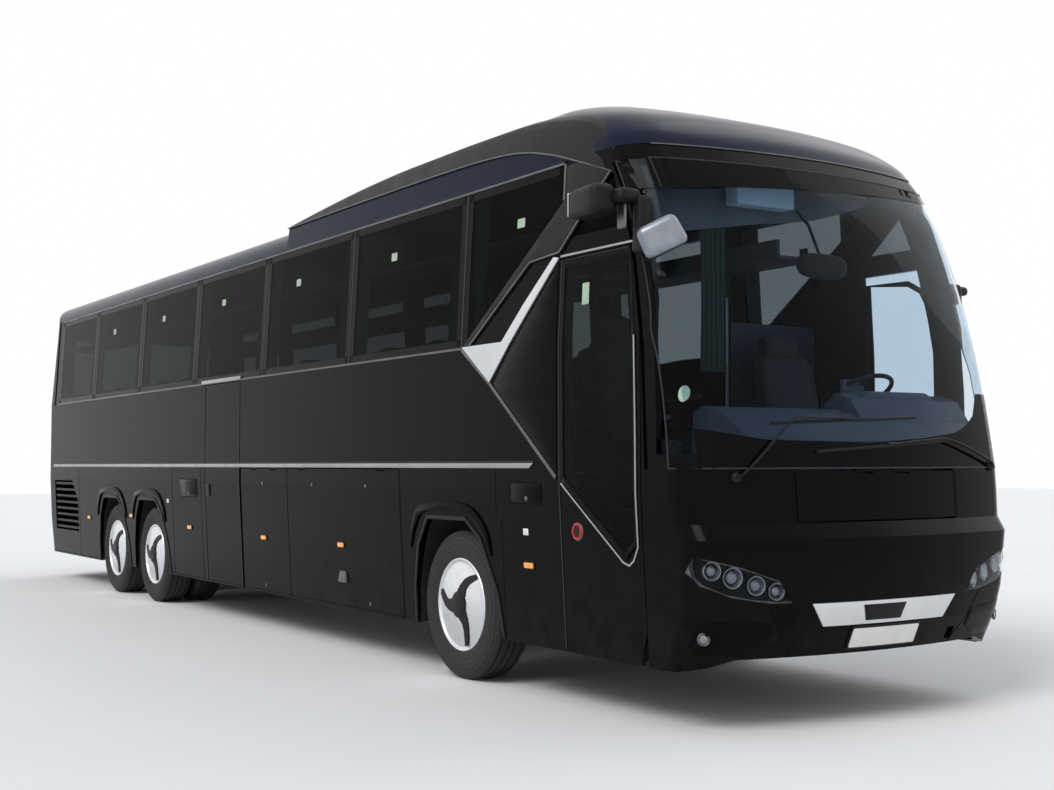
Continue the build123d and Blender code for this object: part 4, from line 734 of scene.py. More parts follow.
def tube_mesh(bm: bmesh.types.BMesh, points: Sequence[Sequence[float]], radius: float | Sequence[float],
              segments: int = 12, flat: float = 1.0) -> None:
    """Adds a bar along world points, round or flattened along its second axis."""
    line = [Vector(p) for p in points]
    radii = [radius] * len(line) if isinstance(radius, (int, float)) else list(radius)
    rings = []
    up = Vector((0.0, 0.0, 1.0))
    for i, here in enumerate(line):
        ahead = (line[min(i + 1, len(line) - 1)] - line[max(i - 1, 0)]).normalized()
        side = ahead.cross(up if abs(ahead.z) < 0.95 else Vector((0.0, 1.0, 0.0))).normalized()
        lift = side.cross(ahead).normalized()
        turn = Matrix((side, lift, ahead)).transposed().to_4x4()
        squash = Matrix.Diagonal((1.0, flat, 1.0, 1.0))
        circle = bmesh.ops.create_circle(bm, cap_ends=False, segments=segments, radius=radii[i],
                                         matrix=Matrix.Translation(here) @ turn @ squash)["verts"]
        rings.append(list({e for v in circle for e in v.link_edges}))
    for one, two in zip(rings, rings[1:]):
        bmesh.ops.bridge_loops(bm, edges=one + two)
    for ring in (rings[0], rings[-1]):
        bmesh.ops.contextual_create(bm, geom=ring)


def tubes(name: str, lines: Iterable[Sequence[Sequence[float]]], radius: float, finish: Finish,
          body: str = MAIN_BODY, segments: int = 12, flat: float = 1.0) -> bpy.types.Object:
    """One piece of bars along lines of world points."""
    bm = bmesh.new()
    for line in lines:
        tube_mesh(bm, line, radius, segments, flat)
    return finish_piece(bm, name, finish, body)


def block_mesh(bm: bmesh.types.BMesh, size: Sequence[float], bevel: float = 0.01, segments: int = 3,
               taper: tuple[float, float] = (1.0, 1.0),
               turn: Matrix | None = None) -> list[bmesh.types.BMVert]:
    """Adds a softened block.

    Args:
        bm: the mesh that it goes into.
        size: (station, station, y, y, height, height).
        bevel: radius of its edges.
        segments: steps across each edge.
        taper: how much narrower the top is along X and Y.
        turn: a rotation about the block's middle.
    Returns:
        The block's vertices.
    """
    a, b, y0, y1, z0, z1 = size
    scale = Matrix.Diagonal((abs(b - a), abs(y1 - y0), abs(z1 - z0), 1.0))
    before = set(bm.verts)
    made = bmesh.ops.create_cube(bm, size=1.0, matrix=scale)["verts"]
    for v in made:
        if v.co.z > 0:
            v.co.x *= taper[0]
            v.co.y *= taper[1]
    edges = list({e for v in made for e in v.link_edges})
    if bevel > 0:
        bmesh.ops.bevel(bm, geom=edges, offset=bevel, segments=segments, profile=0.5, material=-1,
                        affect="EDGES", clamp_overlap=True)
    made = [v for v in bm.verts if v not in before]
    centre = Matrix.Translation((st((a + b) / 2), (y0 + y1) / 2, (z0 + z1) / 2))
    bmesh.ops.transform(bm, matrix=centre @ (turn or Matrix.Identity(4)), verts=made)
    return made


def blocks(name: str, sizes: Iterable[Sequence[float]], finish: Finish, bevel: float = 0.01,
           body: str = MAIN_BODY) -> bpy.types.Object:
    """One piece of softened blocks, each with its sizes as for block_mesh."""
    bm = bmesh.new()
    for size in sizes:
        block_mesh(bm, size, bevel)
    return finish_piece(bm, name, finish, body)


def spin_mesh(bm: bmesh.types.BMesh, profile: Sequence[Point], centre: Sequence[float], axis: Sequence[float],
              segments: int = 48) -> list[bmesh.types.BMVert]:
    """Adds a turned shape.

    Args:
        bm: the mesh that it goes into.
        profile: (radius, distance along the axis) points.
        centre: world point that the distances start from.
        axis: the way that the distances grow.
        segments: steps round the axis.
    Returns:
        The shape's vertices.
    """
    before = set(bm.verts)
    way = Vector(axis).normalized()
    out = way.orthogonal().normalized()
    origin = Vector(centre)
    line = [bm.verts.new(origin + out * r + way * w) for r, w in profile]
    edges = [bm.edges.new(pair) for pair in zip(line, line[1:])]
    bmesh.ops.spin(bm, geom=[*line, *edges], cent=origin, axis=way, dvec=(0, 0, 0), angle=math.tau,
                   steps=segments, use_merge=True, use_duplicate=False)
    made = [v for v in bm.verts if v not in before]
    bmesh.ops.remove_doubles(bm, verts=made, dist=WELD)
    return [v for v in bm.verts if v not in before]


# ---------------------------------------------------------------- wheels
TYRE_STEPS = 96
ARM_TURN = 0.62                # angle of the cover's first arm


@dataclass
class Wheel(Sided):
    """One tyre, or a twin pair, with its ribbed tread and polished cover.

    pitch is the distance between twin tyres, and middle the outer tyre's distance from the centre line.
    """

    place: str
    side: int
    station: float
    twin: bool = False
    radius: float = 0.507
    pitch: float = 0.335
    middle: float = 1.080
    arms: int = 3

    @property
    def body(self) -> str:
        """The CAD body that turns."""
        return f"wheel_{self.place}_{self.word}"

    def centre(self, inward: float = 0.0) -> Vector:
        """World point in the middle of a tyre."""
        return Vector((st(self.station), self.side * (self.middle - inward), self.radius))

    def centres(self) -> list[Vector]:
        """Middles of this place's one or two tyres, outermost first."""
        return [self.centre(inward) for inward in ((0.0, self.pitch) if self.twin else (0.0,))]

    def tyre(self) -> None:
        """Tyre with rounded shoulders, four grooves and side ribs."""
        groove = [(0.507, 0.092), (0.496, 0.090), (0.496, 0.078), (0.507, 0.076), (0.507, 0.034),
                  (0.495, 0.032), (0.495, 0.020), (0.507, 0.018)]
        outer = smooth_line([(0.300, 0.104), (0.322, 0.126), (0.350, 0.137), (0.410, 0.145), (0.455, 0.142),
                             (0.482, 0.132), (0.499, 0.117), (0.506, 0.104)], 3)
        half = [*outer, *groove]
        mirrored = [(r, -w) for r, w in reversed(half)]
        bm = bmesh.new()
        way = (0.0, float(self.side), 0.0)
        for middle in self.centres():
            spin_mesh(bm, [*half, *mirrored, (0.300, 0.104)], middle, way, TYRE_STEPS)
            for radius, proud in ((0.345, 0.138), (0.372, 0.1435), (0.405, 0.1465), (0.436, 0.1465),
                                  (0.466, 0.141)):
                spin_mesh(bm, [(radius, proud - 0.006), (radius + 0.002, proud), (radius + 0.005, proud),
                               (radius + 0.007, proud - 0.006)], middle, way, TYRE_STEPS)
        made = finish_piece(bm, f"tyre_skin_{self.place}_{self.word}", RUBBER, self.body, 40.0)
        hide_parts(f"tyre_{self.place}_{self.word}")

    def cover(self) -> None:
        """Polished cover with a rolled rim, dish, domed middle and dark bent arms."""
        way = (0.0, float(self.side), 0.0)
        bm = bmesh.new()
        profile = smooth_line([(0.322, 0.112), (0.320, 0.128), (0.311, 0.135), (0.300, 0.131), (0.292, 0.124),
                               (0.262, 0.127), (0.205, 0.136), (0.150, 0.142), (0.100, 0.146), (0.050, 0.148),
                               (0.0, 0.149)], 4)
        back = [(0.322, 0.108), (0.322, 0.112)]
        spin_mesh(bm, [*back, *profile[1:]], self.centre(), way, TYRE_STEPS)
        made = finish_piece(bm, f"wheel_cover_{self.place}_{self.word}", COVER_METAL, self.body, 40.0)
        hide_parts(f"rim_{self.place}_{self.word}")
        bm = bmesh.new()
        for i in range(self.arms):
            self._arm(bm, math.tau * i / self.arms + ARM_TURN)
        spin_mesh(bm, [(0.092, 0.146), (0.090, 0.154), (0.080, 0.158), (0.0, 0.160)], self.centre(), way, 40)
        finish_piece(bm, f"wheel_arms_{self.place}_{self.word}", SATIN_BLACK, self.body, 40.0)
        bm = bmesh.new()
        barrel = [(0.302, 0.110), (0.292, 0.100), (0.276, 0.060), (0.270, -0.080), (0.292, -0.112),
                  (0.302, -0.118)]
        for middle in self.centres():
            spin_mesh(bm, barrel, middle, way, 64)
        spin_mesh(bm, [(0.290, 0.060), (0.200, 0.052), (0.120, 0.060), (0.110, 0.090), (0.0, 0.092)],
                  self.centre(), way, 48)
        finish_piece(bm, f"wheel_rim_{self.place}_{self.word}", STEEL_PAINT, self.body, 40.0)

    def _arm(self, bm: bmesh.types.BMesh, angle: float) -> None:
        """Adds one tapering, bent dark arm that lies in the cover's dish."""
        reach = ((0.060, -0.10, 0.052), (0.100, -0.22, 0.050), (0.140, -0.20, 0.036), (0.190, -0.08, 0.032),
                 (0.240, 0.06, 0.028), (0.286, 0.16, 0.018))
        left, right = [], []
        for radius, lean, half in reach:
            for row, way in ((left, 1), (right, -1)):
                theta = angle + lean + way * half / radius
                row.append((radius * math.sin(theta), radius * math.cos(theta)))
        verts = [bm.verts.new((x, 0.0, z)) for x, z in left + right[::-1]]
        face = bm.faces.new(verts)
        top = bmesh.ops.extrude_face_region(bm, geom=[face], use_keep_orig=True)["geom"]
        raised = [v for v in top if isinstance(v, bmesh.types.BMVert)]
        dish = ((0.0, 0.149), (0.100, 0.146), (0.150, 0.142), (0.205, 0.136), (0.262, 0.127), (0.29, 0.124))
        for v in verts + raised:
            radius = math.hypot(v.co.x, v.co.z)
            depth = between(dish, radius) + (0.008 if v in raised else -0.010)
            v.co = self.centre() + Vector((v.co.x, self.side * depth, v.co.z))

    def build(self) -> None:
        """Builds the wheel's pieces."""
        self.tyre()
        self.cover()


def build_wheels() -> None:
    """All six wheel positions."""
    for side in (LEFT, RIGHT):
        Wheel("front", side, 0.0).build()
        Wheel("drive", side, -6.600, twin=True).build()
        Wheel("tag", side, -7.960).build()


# ---------------------------------------------------------------- sides
# Stations where the row of side panes starts, is jointed and ends, from the front.
PILLARS = (1.330, 0.120, -1.660, -3.440, -5.220, -7.000, -8.780, -10.400)
# (station from the axle, height) along an arch's edge, from rear to front
ARCH = ((-0.600, 0.335), (-0.600, 0.600), (-0.530, 0.900), (-0.380, 1.095), (0.150, 1.100), (0.340, 0.975),
        (0.540, 0.620), (0.600, 0.335))


@dataclass
class SideTrim(Sided):
    """Strips, seams, hatches, markers and wheel arches on one side."""

    side: int
    belt_z: float = 1.458
    top_z: float = 3.322
    sill_z: float = 2.252
    axles: tuple[float, ...] = (0.0, -6.600, -7.960)
    # (station, height)
    markers: tuple[Point, ...] = ((0.94, 0.83), (-1.83, 0.83), (-3.43, 0.82), (-5.37, 0.84), (-7.28, 0.90),
                                  (-8.97, 0.83))

    @property
    def place(self) -> Placing:
        """Placing on the flat part of this side."""
        return on_side(self.side)

    def _plate(self, name: str, outlines: Iterable[Sequence[Point]], finish: Finish, thick: float = 0.003,
               lift: float = 0.0, bevel: float = 0.0012, **more: object) -> bpy.types.Object:
        """A plate on this side, named for it."""
        return plate(f"{name}_{self.word}", outlines, self.place, finish, thick, lift, bevel=bevel, **more)

    def strips(self) -> None:
        """Belt strip and its seal, window lines, the diagonal between them and the corner's glazing."""
        belt = [[(-10.58, self.belt_z - 0.017), (0.98, self.belt_z - 0.017), (1.03, self.belt_z + 0.017),
                 (-10.58, self.belt_z + 0.017)]]
        self._plate("belt_strip", belt, BRIGHT_TRIM, 0.010, 0.0, 0.004)
        seals = [strip([(-10.58, self.belt_z + 0.024), (1.02, self.belt_z + 0.024)], 0.012)]
        self._plate("belt_seals", seals, SEAL, 0.004)
        rails = [strip([(-10.42, self.sill_z), (0.13, self.sill_z)], 0.016),
                 strip([(-10.42, self.top_z), (1.30, self.top_z)], 0.016)]
        self._plate("window_rails", rails, DULL_TRIM, 0.008, 0.0, 0.003)
        diagonal = strip([(0.13, 2.245), (0.50, 1.995), (0.80, 1.760), (1.28, 1.385)], 0.026)
        self._plate("belt_diagonal", [diagonal], DULL_TRIM, 0.009, 0.0, 0.003)
        if self.side == RIGHT:
            blade = [(0.14, 2.262), (0.50, 2.005), (0.88, 2.360), (1.292, 2.735), (1.232, 2.748),
                     (0.90, 2.480), (0.655, 2.262)]
            self._plate("corner_blade", [blade], BRIGHT_PANEL, 0.014, 0.0, 0.003)
        top_rail = strip([(1.332, 3.315), (1.332, 3.085)], 0.018)
        self._plate("corner_rail", [top_rail], DULL_TRIM, 0.020, 0.0, 0.003)
        glazed = [(0.54, 1.985), (1.285, 1.402), (1.285, 2.700), (0.90, 2.360)]
        self._plate("corner_glazing", [glazed], PIANO_BLACK, 0.004)

    def pillars(self) -> None:
        """Black borders printed on the panes, and the rubber joints between them."""
        lines = [strip([(s, self.sill_z + 0.01), (s, self.top_z - 0.01)], 0.016) for s in PILLARS[1:-1]]
        self._plate("pane_joints", lines, SEAL, 0.003, 0.0005, levels=())
        borders = [strip([(s, self.sill_z + 0.01), (s, self.top_z - 0.01)], 0.150) for s in PILLARS[1:-1]]
        borders += [strip([(-10.36, self.sill_z + 0.01), (-10.36, self.top_z - 0.01)], 0.10)]
        borders += [strip([(-10.40, self.sill_z + 0.035), (0.10, self.sill_z + 0.035)], 0.055)]
        borders += [strip([(-10.40, self.top_z - 0.035), (1.25, self.top_z - 0.035)], 0.055)]
        self._plate("pane_borders", borders, PIANO_BLACK, 0.0012, 0.0002, bevel=0.0, levels=())

    def seams(self) -> None:
        """Fine shut lines of the fixed panels and the stepped skirt line."""
        rows = [(-9.40, 0.335, 1.43), (-5.880, 0.335, 1.43), (-0.790, 0.335, 1.43), (0.560, 1.13, 1.43),
                (0.620, 0.335, 1.10)]
        if self.side == RIGHT:
            rows += [(1.308, 0.335, 1.36), (-5.02, 0.335, 1.43)]
        lines = [strip([(s, a), (s, b)], 0.007) for s, a, b in rows]
        lines.append(strip([(-10.58, 0.352), (-8.62, 0.352)], 0.006))
        lines.append(strip([(-5.94, 0.352), (-0.80, 0.352)], 0.006))
        self._plate("panel_seams", lines, SHUT_LINE, 0.0008, 0.0002, bevel=0.0)

    def hatches(self) -> None:
        """Small service hatches with their shut lines, locks and blank labels."""
        doors = [(0.76, 1.11, 1.22, 1.35)]
        if self.side == RIGHT:
            doors.append((-5.63, -5.12, 1.15, 1.32))
        self._plate("hatch_gaps", [rounded(a - 0.006, b + 0.006, z0 - 0.006, z1 + 0.006, 0.026)
                                   for a, b, z0, z1 in doors], SHUT_LINE, 0.0010, 0.0, 0.0)
        self._plate("hatches", [rounded(*door, 0.022) for door in doors], PAINT, 0.0035, 0.0, 0.0015)
        bm = bmesh.new()
        locks = [(-3.42, 1.30), (-2.35, 1.30), (-1.35, 1.30), (-3.42, 0.40), (-1.35, 0.40), (-9.95, 1.34)]
        locks += [((a + b) / 2, z0 + 0.03) for a, b, z0, _ in doors]
        for s, z in locks:
            spin_mesh(bm, [(0.016, -0.002), (0.016, 0.003), (0.012, 0.005), (0.0, 0.005)],
                      self.place(s, z, 0.001), (0, self.side, 0), 20)
        finish_piece(bm, f"locks_{self.word}", DULL_TRIM)
        labels = [rounded(s - 0.030, s + 0.030, z - 0.021, z + 0.021, 0.004)
                  for s, z in ((-6.03, 1.09), (0.91, 1.04))]
        self._plate("blank_labels", labels, WHITE_PLASTIC, 0.0015, 0.0, 0.0004)

    def lights(self) -> None:
        """Amber side markers in dark bezels, and the hooded vent."""
        self._plate("marker_bezels", [rounded(s - 0.062, s + 0.062, z - 0.026, z + 0.026, 0.012)
                                      for s, z in self.markers], SATIN_BLACK, 0.006, 0.0, 0.003)
        self._plate("marker_lenses", [rounded(s - 0.052, s + 0.052, z - 0.017, z + 0.017, 0.009)
                                      for s, z in self.markers], AMBER, 0.008, 0.006, 0.003)
        bm = bmesh.new()
        y = self.side * (half_width(0.58) + 0.008)
        block_mesh(bm, (-1.875, -1.745, y - 0.016, y + 0.016, 0.535, 0.625), 0.012, 3, (0.8, 0.5))
        finish_piece(bm, f"hooded_vent_{self.word}", GREY_PLASTIC)

    def arches(self) -> None:
        """Rubber lips, raised brows and dark wheel housings of every arch."""
        lips = [strip([(axle + a, z) for a, z in ARCH], 0.030) for axle in self.axles]
        self._plate("arch_lips", lips, SATIN_BLACK, 0.010, -0.002, 0.003)
        brows = []
        for axle in self.axles:
            low = smooth_line([(-0.640, 0.860), (-0.560, 1.020), (-0.400, 1.135), (0.150, 1.140),
                               (0.370, 1.010), (0.480, 0.860)], 4)
            high = smooth_line([(-0.640, 0.860), (-0.600, 1.060), (-0.430, 1.190), (0.160, 1.200),
                                (0.420, 1.050), (0.480, 0.860)], 4)
            brows.append([(axle + a, z) for a, z in [*low, *high[-2:0:-1]]])
        self._plate("arch_brows", brows, PAINT, 0.014, 0.0, 0.006)
        bm = bmesh.new()
        for axle in self.axles:
            line = [bm.verts.new((st(axle + a * 0.995), self.side * 1.20, z * 0.995))
                    for a, z in smooth_line(ARCH, 3)]
            edges = [bm.edges.new(pair) for pair in zip(line, line[1:])]
            inward = bmesh.ops.extrude_edge_only(bm, edges=edges)["geom"]
            inner = [v for v in inward if isinstance(v, bmesh.types.BMVert)]
            bmesh.ops.translate(bm, verts=inner, vec=(-st(axle), -self.side * 0.52, 0.0))
            bmesh.ops.scale(bm, verts=inner, vec=(1.14, 1.0, 1.0))
            bmesh.ops.translate(bm, verts=inner, vec=(st(axle), 0.0, 0.0))
        finish_piece(bm, f"wheel_housings_{self.word}", MATT_BLACK)

    def mid_door_cap(self) -> None:
        """Protruding bright cap above the middle door, its edges and its grip."""
        bm = bmesh.new()
        w = half_width(2.25)
        block_mesh(bm, (-4.96, -3.94, -w - 0.022, -w + 0.004, 2.247, 2.285), 0.008)
        finish_piece(bm, "mid_door_cap", BRIGHT_TRIM)
        edges = [strip([(-4.909, 0.345), (-4.909, 2.225), (-3.991, 2.225), (-3.991, 0.345)], 0.014)]
        self._plate("mid_door_edge", edges, SEAL, 0.004, 0.0, 0.0012, body="mid_door")
        grip = [rounded(-4.86, -4.76, 1.16, 1.28, 0.018)]
        self._plate("mid_door_grip", grip, SATIN_BLACK, 0.010, 0.0, 0.004, body="mid_door")

    def stickers(self) -> None:
        """Small blank stickers high in the panes."""
        spots = [(s + 0.70, 3.02) for s in PILLARS[1:-1]]
        self._plate("pane_stickers", [rounded(s - 0.045, s + 0.045, z - 0.030, z + 0.030, 0.006)
                                      for s, z in spots], STICKER, 0.0008, 0.0006, 0.0, levels=())

    def build(self) -> None:
        """Builds the side's pieces."""
        self.strips()
        self.pillars()
        self.seams()
        self.hatches()
        self.lights()
        self.arches()
        self.stickers()
        if self.side == RIGHT:
            self.mid_door_cap()


# ---------------------------------------------------------------- front
# (distance from the centre line, height) round a headlamp's cover
HEADLAMP = ((1.252, 0.985), (1.200, 0.956), (1.130, 0.938), (1.020, 0.910), (0.900, 0.872), (0.780, 0.830),
            (0.730, 0.775), (0.700, 0.710), (0.760, 0.704), (0.830, 0.710), (0.950, 0.728), (1.070, 0.750),
            (1.150, 0.778), (1.210, 0.810), (1.240, 0.845), (1.251, 0.900))
# (height, station) of the screen's side edge
SCREEN_SIDE = ((1.440, 2.165), (2.200, 2.135), (2.620, 2.050), (2.800, 1.990), (3.090, 1.890), (3.240, 1.800))


def smooth_levels(face: EndFace, low: float) -> EndFace:
    """The same face with its levels rounded off above a height."""
    kept = [row for row in face.levels if row[0] < low]
    curved = smooth_line([row for row in face.levels if row[0] >= low], 5)
    return EndFace(tuple(kept) + tuple(tuple(row) for row in curved), face.cut)


SMOOTH_NOSE = smooth_levels(NOSE, 1.3)
EDGE_STEPS = 30                # pieces that the screen's borders and bead are divided into
SLIVER = 2e-5                  # border cells smaller than this are left out


def on_glass(y: float, z: float, out: float) -> Vector:
    """Places (y, height, out) on the rounded screen surface."""
    return SMOOTH_NOSE.point(y, z, out)


def screen_edge(z: float, back: float = 0.0) -> float:
    """Distance from the centre line to the screen's side edge at a height."""
    station = between(SCREEN_SIDE, z) + back
    low, high = 0.0, NOSE.level(z)[3]
    for _ in range(26):
        mid = (low + high) / 2
        low, high = (mid, high) if NOSE.station(mid, z) > station else (low, mid)
    return low


# (height, station) of the side edge of the screen's clear part
CLEAR_SIDE = ((1.44, 2.255), (1.93, 2.255), (2.38, 2.225), (2.79, 2.125), (3.04, 2.045), (3.24, 1.900))


def clear_edge(z: float) -> float:
    """Distance from the centre line to the border's inner edge at a height."""
    return screen_edge(z, between(CLEAR_SIDE, z) - between(SCREEN_SIDE, z))


@dataclass
class Screen:
    """Windscreen sheet with its black borders, upper visor band and wipers."""

    low: float = 1.442
    high: float = 3.238
    thick: float = 0.008

    def _outline(self, inner: float, low: Callable[[float], float],
                 high: Callable[[float], float]) -> list[Point]:
        """Outline of the screen.

        Args:
            inner: how far forward of the screen's own edge its sides run.
            low: height of the lower edge at a distance from the centre line.
            high: height of the upper edge there.
        Returns:
            The outline's (y, height) points.
        """
        zs = spread(self.low, self.high, 24)
        right = [(-screen_edge(z, inner), z) for z in zs]
        left = [(-y, z) for y, z in reversed(right)]
        right = [(y, min(max(z, low(y)), high(y))) for y, z in right]
        left = [(y, min(max(z, low(y)), high(y))) for y, z in left]
        return right + left

    def _edge_line(self) -> list[Point]:
        """The screen's right edge upwards, then its left edge downwards."""
        zs = spread(self.low, self.high, EDGE_STEPS)
        return [(-screen_edge(z), z) for z in zs] + [(screen_edge(z), z) for z in reversed(zs)]

    def glass(self) -> None:
        """The curved sheet itself."""
        made = plate("screen_sheet", [self._outline(0.0, lambda y: self.low, lambda y: self.high)], on_glass,
                     CLEAR_GLASS, self.thick, -self.thick, GLASS_PITCH, 0.0015, slot="clear_glazing",
                     levels=())
        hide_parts("windscreen")

    @staticmethod
    def _ring(outer: Sequence[Point], inner: Sequence[Point]) -> list[list[Point]]:
        """Quads between two outlines with as many points each."""
        count = len(outer)
        return [[outer[i], outer[(i + 1) % count], inner[(i + 1) % count], inner[i]] for i in range(count)]

    def borders(self) -> None:
        """Printed black border, wide at the bottom, and the visor band at the top."""
        bottom = ((-1.2, 1.66), (-0.8, 1.60), (-0.1, 1.585), (0.38, 1.615), (0.75, 1.655), (0.95, 1.74),
                  (1.03, 1.90))
        top = ((-1.2, 3.045), (-0.66, 3.105), (-0.09, 3.150), (0.37, 3.180), (0.80, 3.190), (1.1, 3.175))
        outer = self._edge_line()
        inner = []
        for y, z in outer:
            yy = math.copysign(clear_edge(z), y)
            inner.append((yy, min(max(z, between(bottom, yy)), between(top, yy))))
        quads = self._ring(outer, inner)[:-1]
        wide = spread(-1.20, 1.20, EDGE_STEPS)
        cells = []
        for a, b in zip(wide, wide[1:]):
            edge = clear_edge(self.low)
            if max(abs(a), abs(b)) <= edge:
                cells.append([(a, self.low), (b, self.low), (b, between(bottom, b)), (a, between(bottom, a))])
            edge = clear_edge(self.high)
            if max(abs(a), abs(b)) <= edge:
                cells.append([(a, between(top, a)), (b, between(top, b)), (b, self.high), (a, self.high)])
        plate("screen_border", [q for q in quads + cells if _area(q) > SLIVER], on_glass, PIANO_BLACK, 0.0012,
              0.0003, BORDER_PITCH, 0.0, levels=())

    def seal(self) -> None:
        """Rubber bead round the sheet."""
        top, bottom = ([on_glass(y, z, 0.001) for y in spread(-screen_edge(z), screen_edge(z), 24)]
                       for z in (self.high, self.low))
        sides = [on_glass(y, z, 0.001) for y, z in self._edge_line()]
        half = EDGE_STEPS + 1
        tubes("screen_seal", [top, bottom, sides[:half], sides[half:]], 0.005, SEAL, segments=8)

    def wipers(self) -> None:
        """Two wipers with arms, hubs, bridges and blades."""
        near = ((-1.01, 1.39), (-0.93, 1.44), (-0.65, 1.69), (-0.56, 1.715), (-0.23, 1.715), (-0.76, 1.690),
                (0.31, 1.735))
        far = ((1.08, 1.45), (1.00, 1.49), (0.60, 1.60), (0.38, 1.600), (0.08, 1.575), (-0.48, 1.535),
               (0.62, 1.605))
        bm = bmesh.new()
        rubber = bmesh.new()
        for hub, knee, bend, tip, clip, one, two in (near, far):
            foot = on_glass(*hub, 0.0)
            spin_mesh(bm, [(0.030, -0.01), (0.030, 0.016), (0.022, 0.026), (0.0, 0.028)], foot, (1, 0, 0.1),
                      24)
            arm = smooth_line([(*hub, 0.020), (*knee, 0.032), (*bend, 0.040), (*tip, 0.038), (*clip, 0.034)],
                              5)
            tube_mesh(bm, [on_glass(*p) for p in arm],
                      [0.013 - 0.006 * i / len(arm) for i in range(len(arm))], 10, 0.6)
            blade = list(zip(spread(one[0], two[0], 14), spread(one[1], two[1], 14)))
            tube_mesh(bm, [on_glass(y, z, 0.022) for y, z in blade], 0.0075, 8, 0.8)
            tube_mesh(rubber, [on_glass(y, z - 0.002, 0.010) for y, z in blade], 0.006, 6, 1.3)
            tube_mesh(bm, [on_glass(clip[0] - 0.05, clip[1], 0.030),
                           on_glass(clip[0] + 0.05, clip[1], 0.030)], 0.012, 8, 0.8)
        made = finish_piece(bm, "wiper_arms", SATIN_BLACK)
        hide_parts("wipers")
        finish_piece(rubber, "wiper_rubbers", SEAL)

    def build(self) -> None:
        """Builds the screen's pieces."""
        self.glass()
        self.borders()
        self.seal()
        self.wipers()


def _area(points: Sequence[Point]) -> float:
    """Area of a flat outline."""
    pairs = zip(points, [*points[1:], points[0]])
    return abs(sum(a[0] * b[1] - b[0] * a[1] for a, b in pairs)) / 2


@dataclass
class Headlamp(Sided):
    """One headlamp: clear cover, dark housing and four round units."""

    side: int
    # (distance from the centre line, height, radius)
    units: tuple[tuple[float, float, float], ...] = ((1.180, 0.888, 0.046), (1.055, 0.850, 0.052),
                                                     (0.915, 0.805, 0.048), (0.790, 0.770, 0.042))

    def build(self) -> bpy.types.Object:
        """Builds the lamp's pieces and returns its cover."""
        outline = on_half(self.side, HEADLAMP)
        cover = plate(f"headlamp_cover_{self.word}", [outline], on_nose, LENS, 0.004, -0.006, LAMP_PITCH,
                      0.001, slot="lamp_glazing", levels=())
        plate(f"headlamp_housing_{self.word}", [outline], on_nose, PIANO_BLACK, 0.003, -0.050, LAMP_PITCH,
              0.0, levels=())
        rim = strip([*outline, outline[0]], 0.012)
        plate(f"headlamp_rim_{self.word}", [rim], on_nose, GREY_PLASTIC, 0.044, -0.047, LAMP_PITCH, 0.0,
              levels=())
        bowls, eyes = bmesh.new(), bmesh.new()
        for y, z, r in self.units:
            spot = NOSE.point(self.side * y, z, -0.047)
            way = Vector((1.0, self.side * 0.30, 0.0)).normalized()
            spin_mesh(bowls, [(r * 0.55, 0.002), (r * 0.8, 0.012), (r, 0.030), (r + 0.005, 0.032),
                              (r + 0.007, 0.024), (r + 0.004, 0.0)], spot, way, 40)
            dome = [(r * 0.62 * math.cos(a), 0.008 + r * 0.42 * math.sin(a))
                    for a in (0.0, 0.3, 0.6, 0.9, 1.2, 1.4, math.pi / 2)]
            spin_mesh(eyes, dome, spot, way, 40)
        finish_piece(bowls, f"headlamp_bowls_{self.word}", LAMP_BOWL)
        finish_piece(eyes, f"headlamp_eyes_{self.word}", LAMP_GLASS)
        return cover


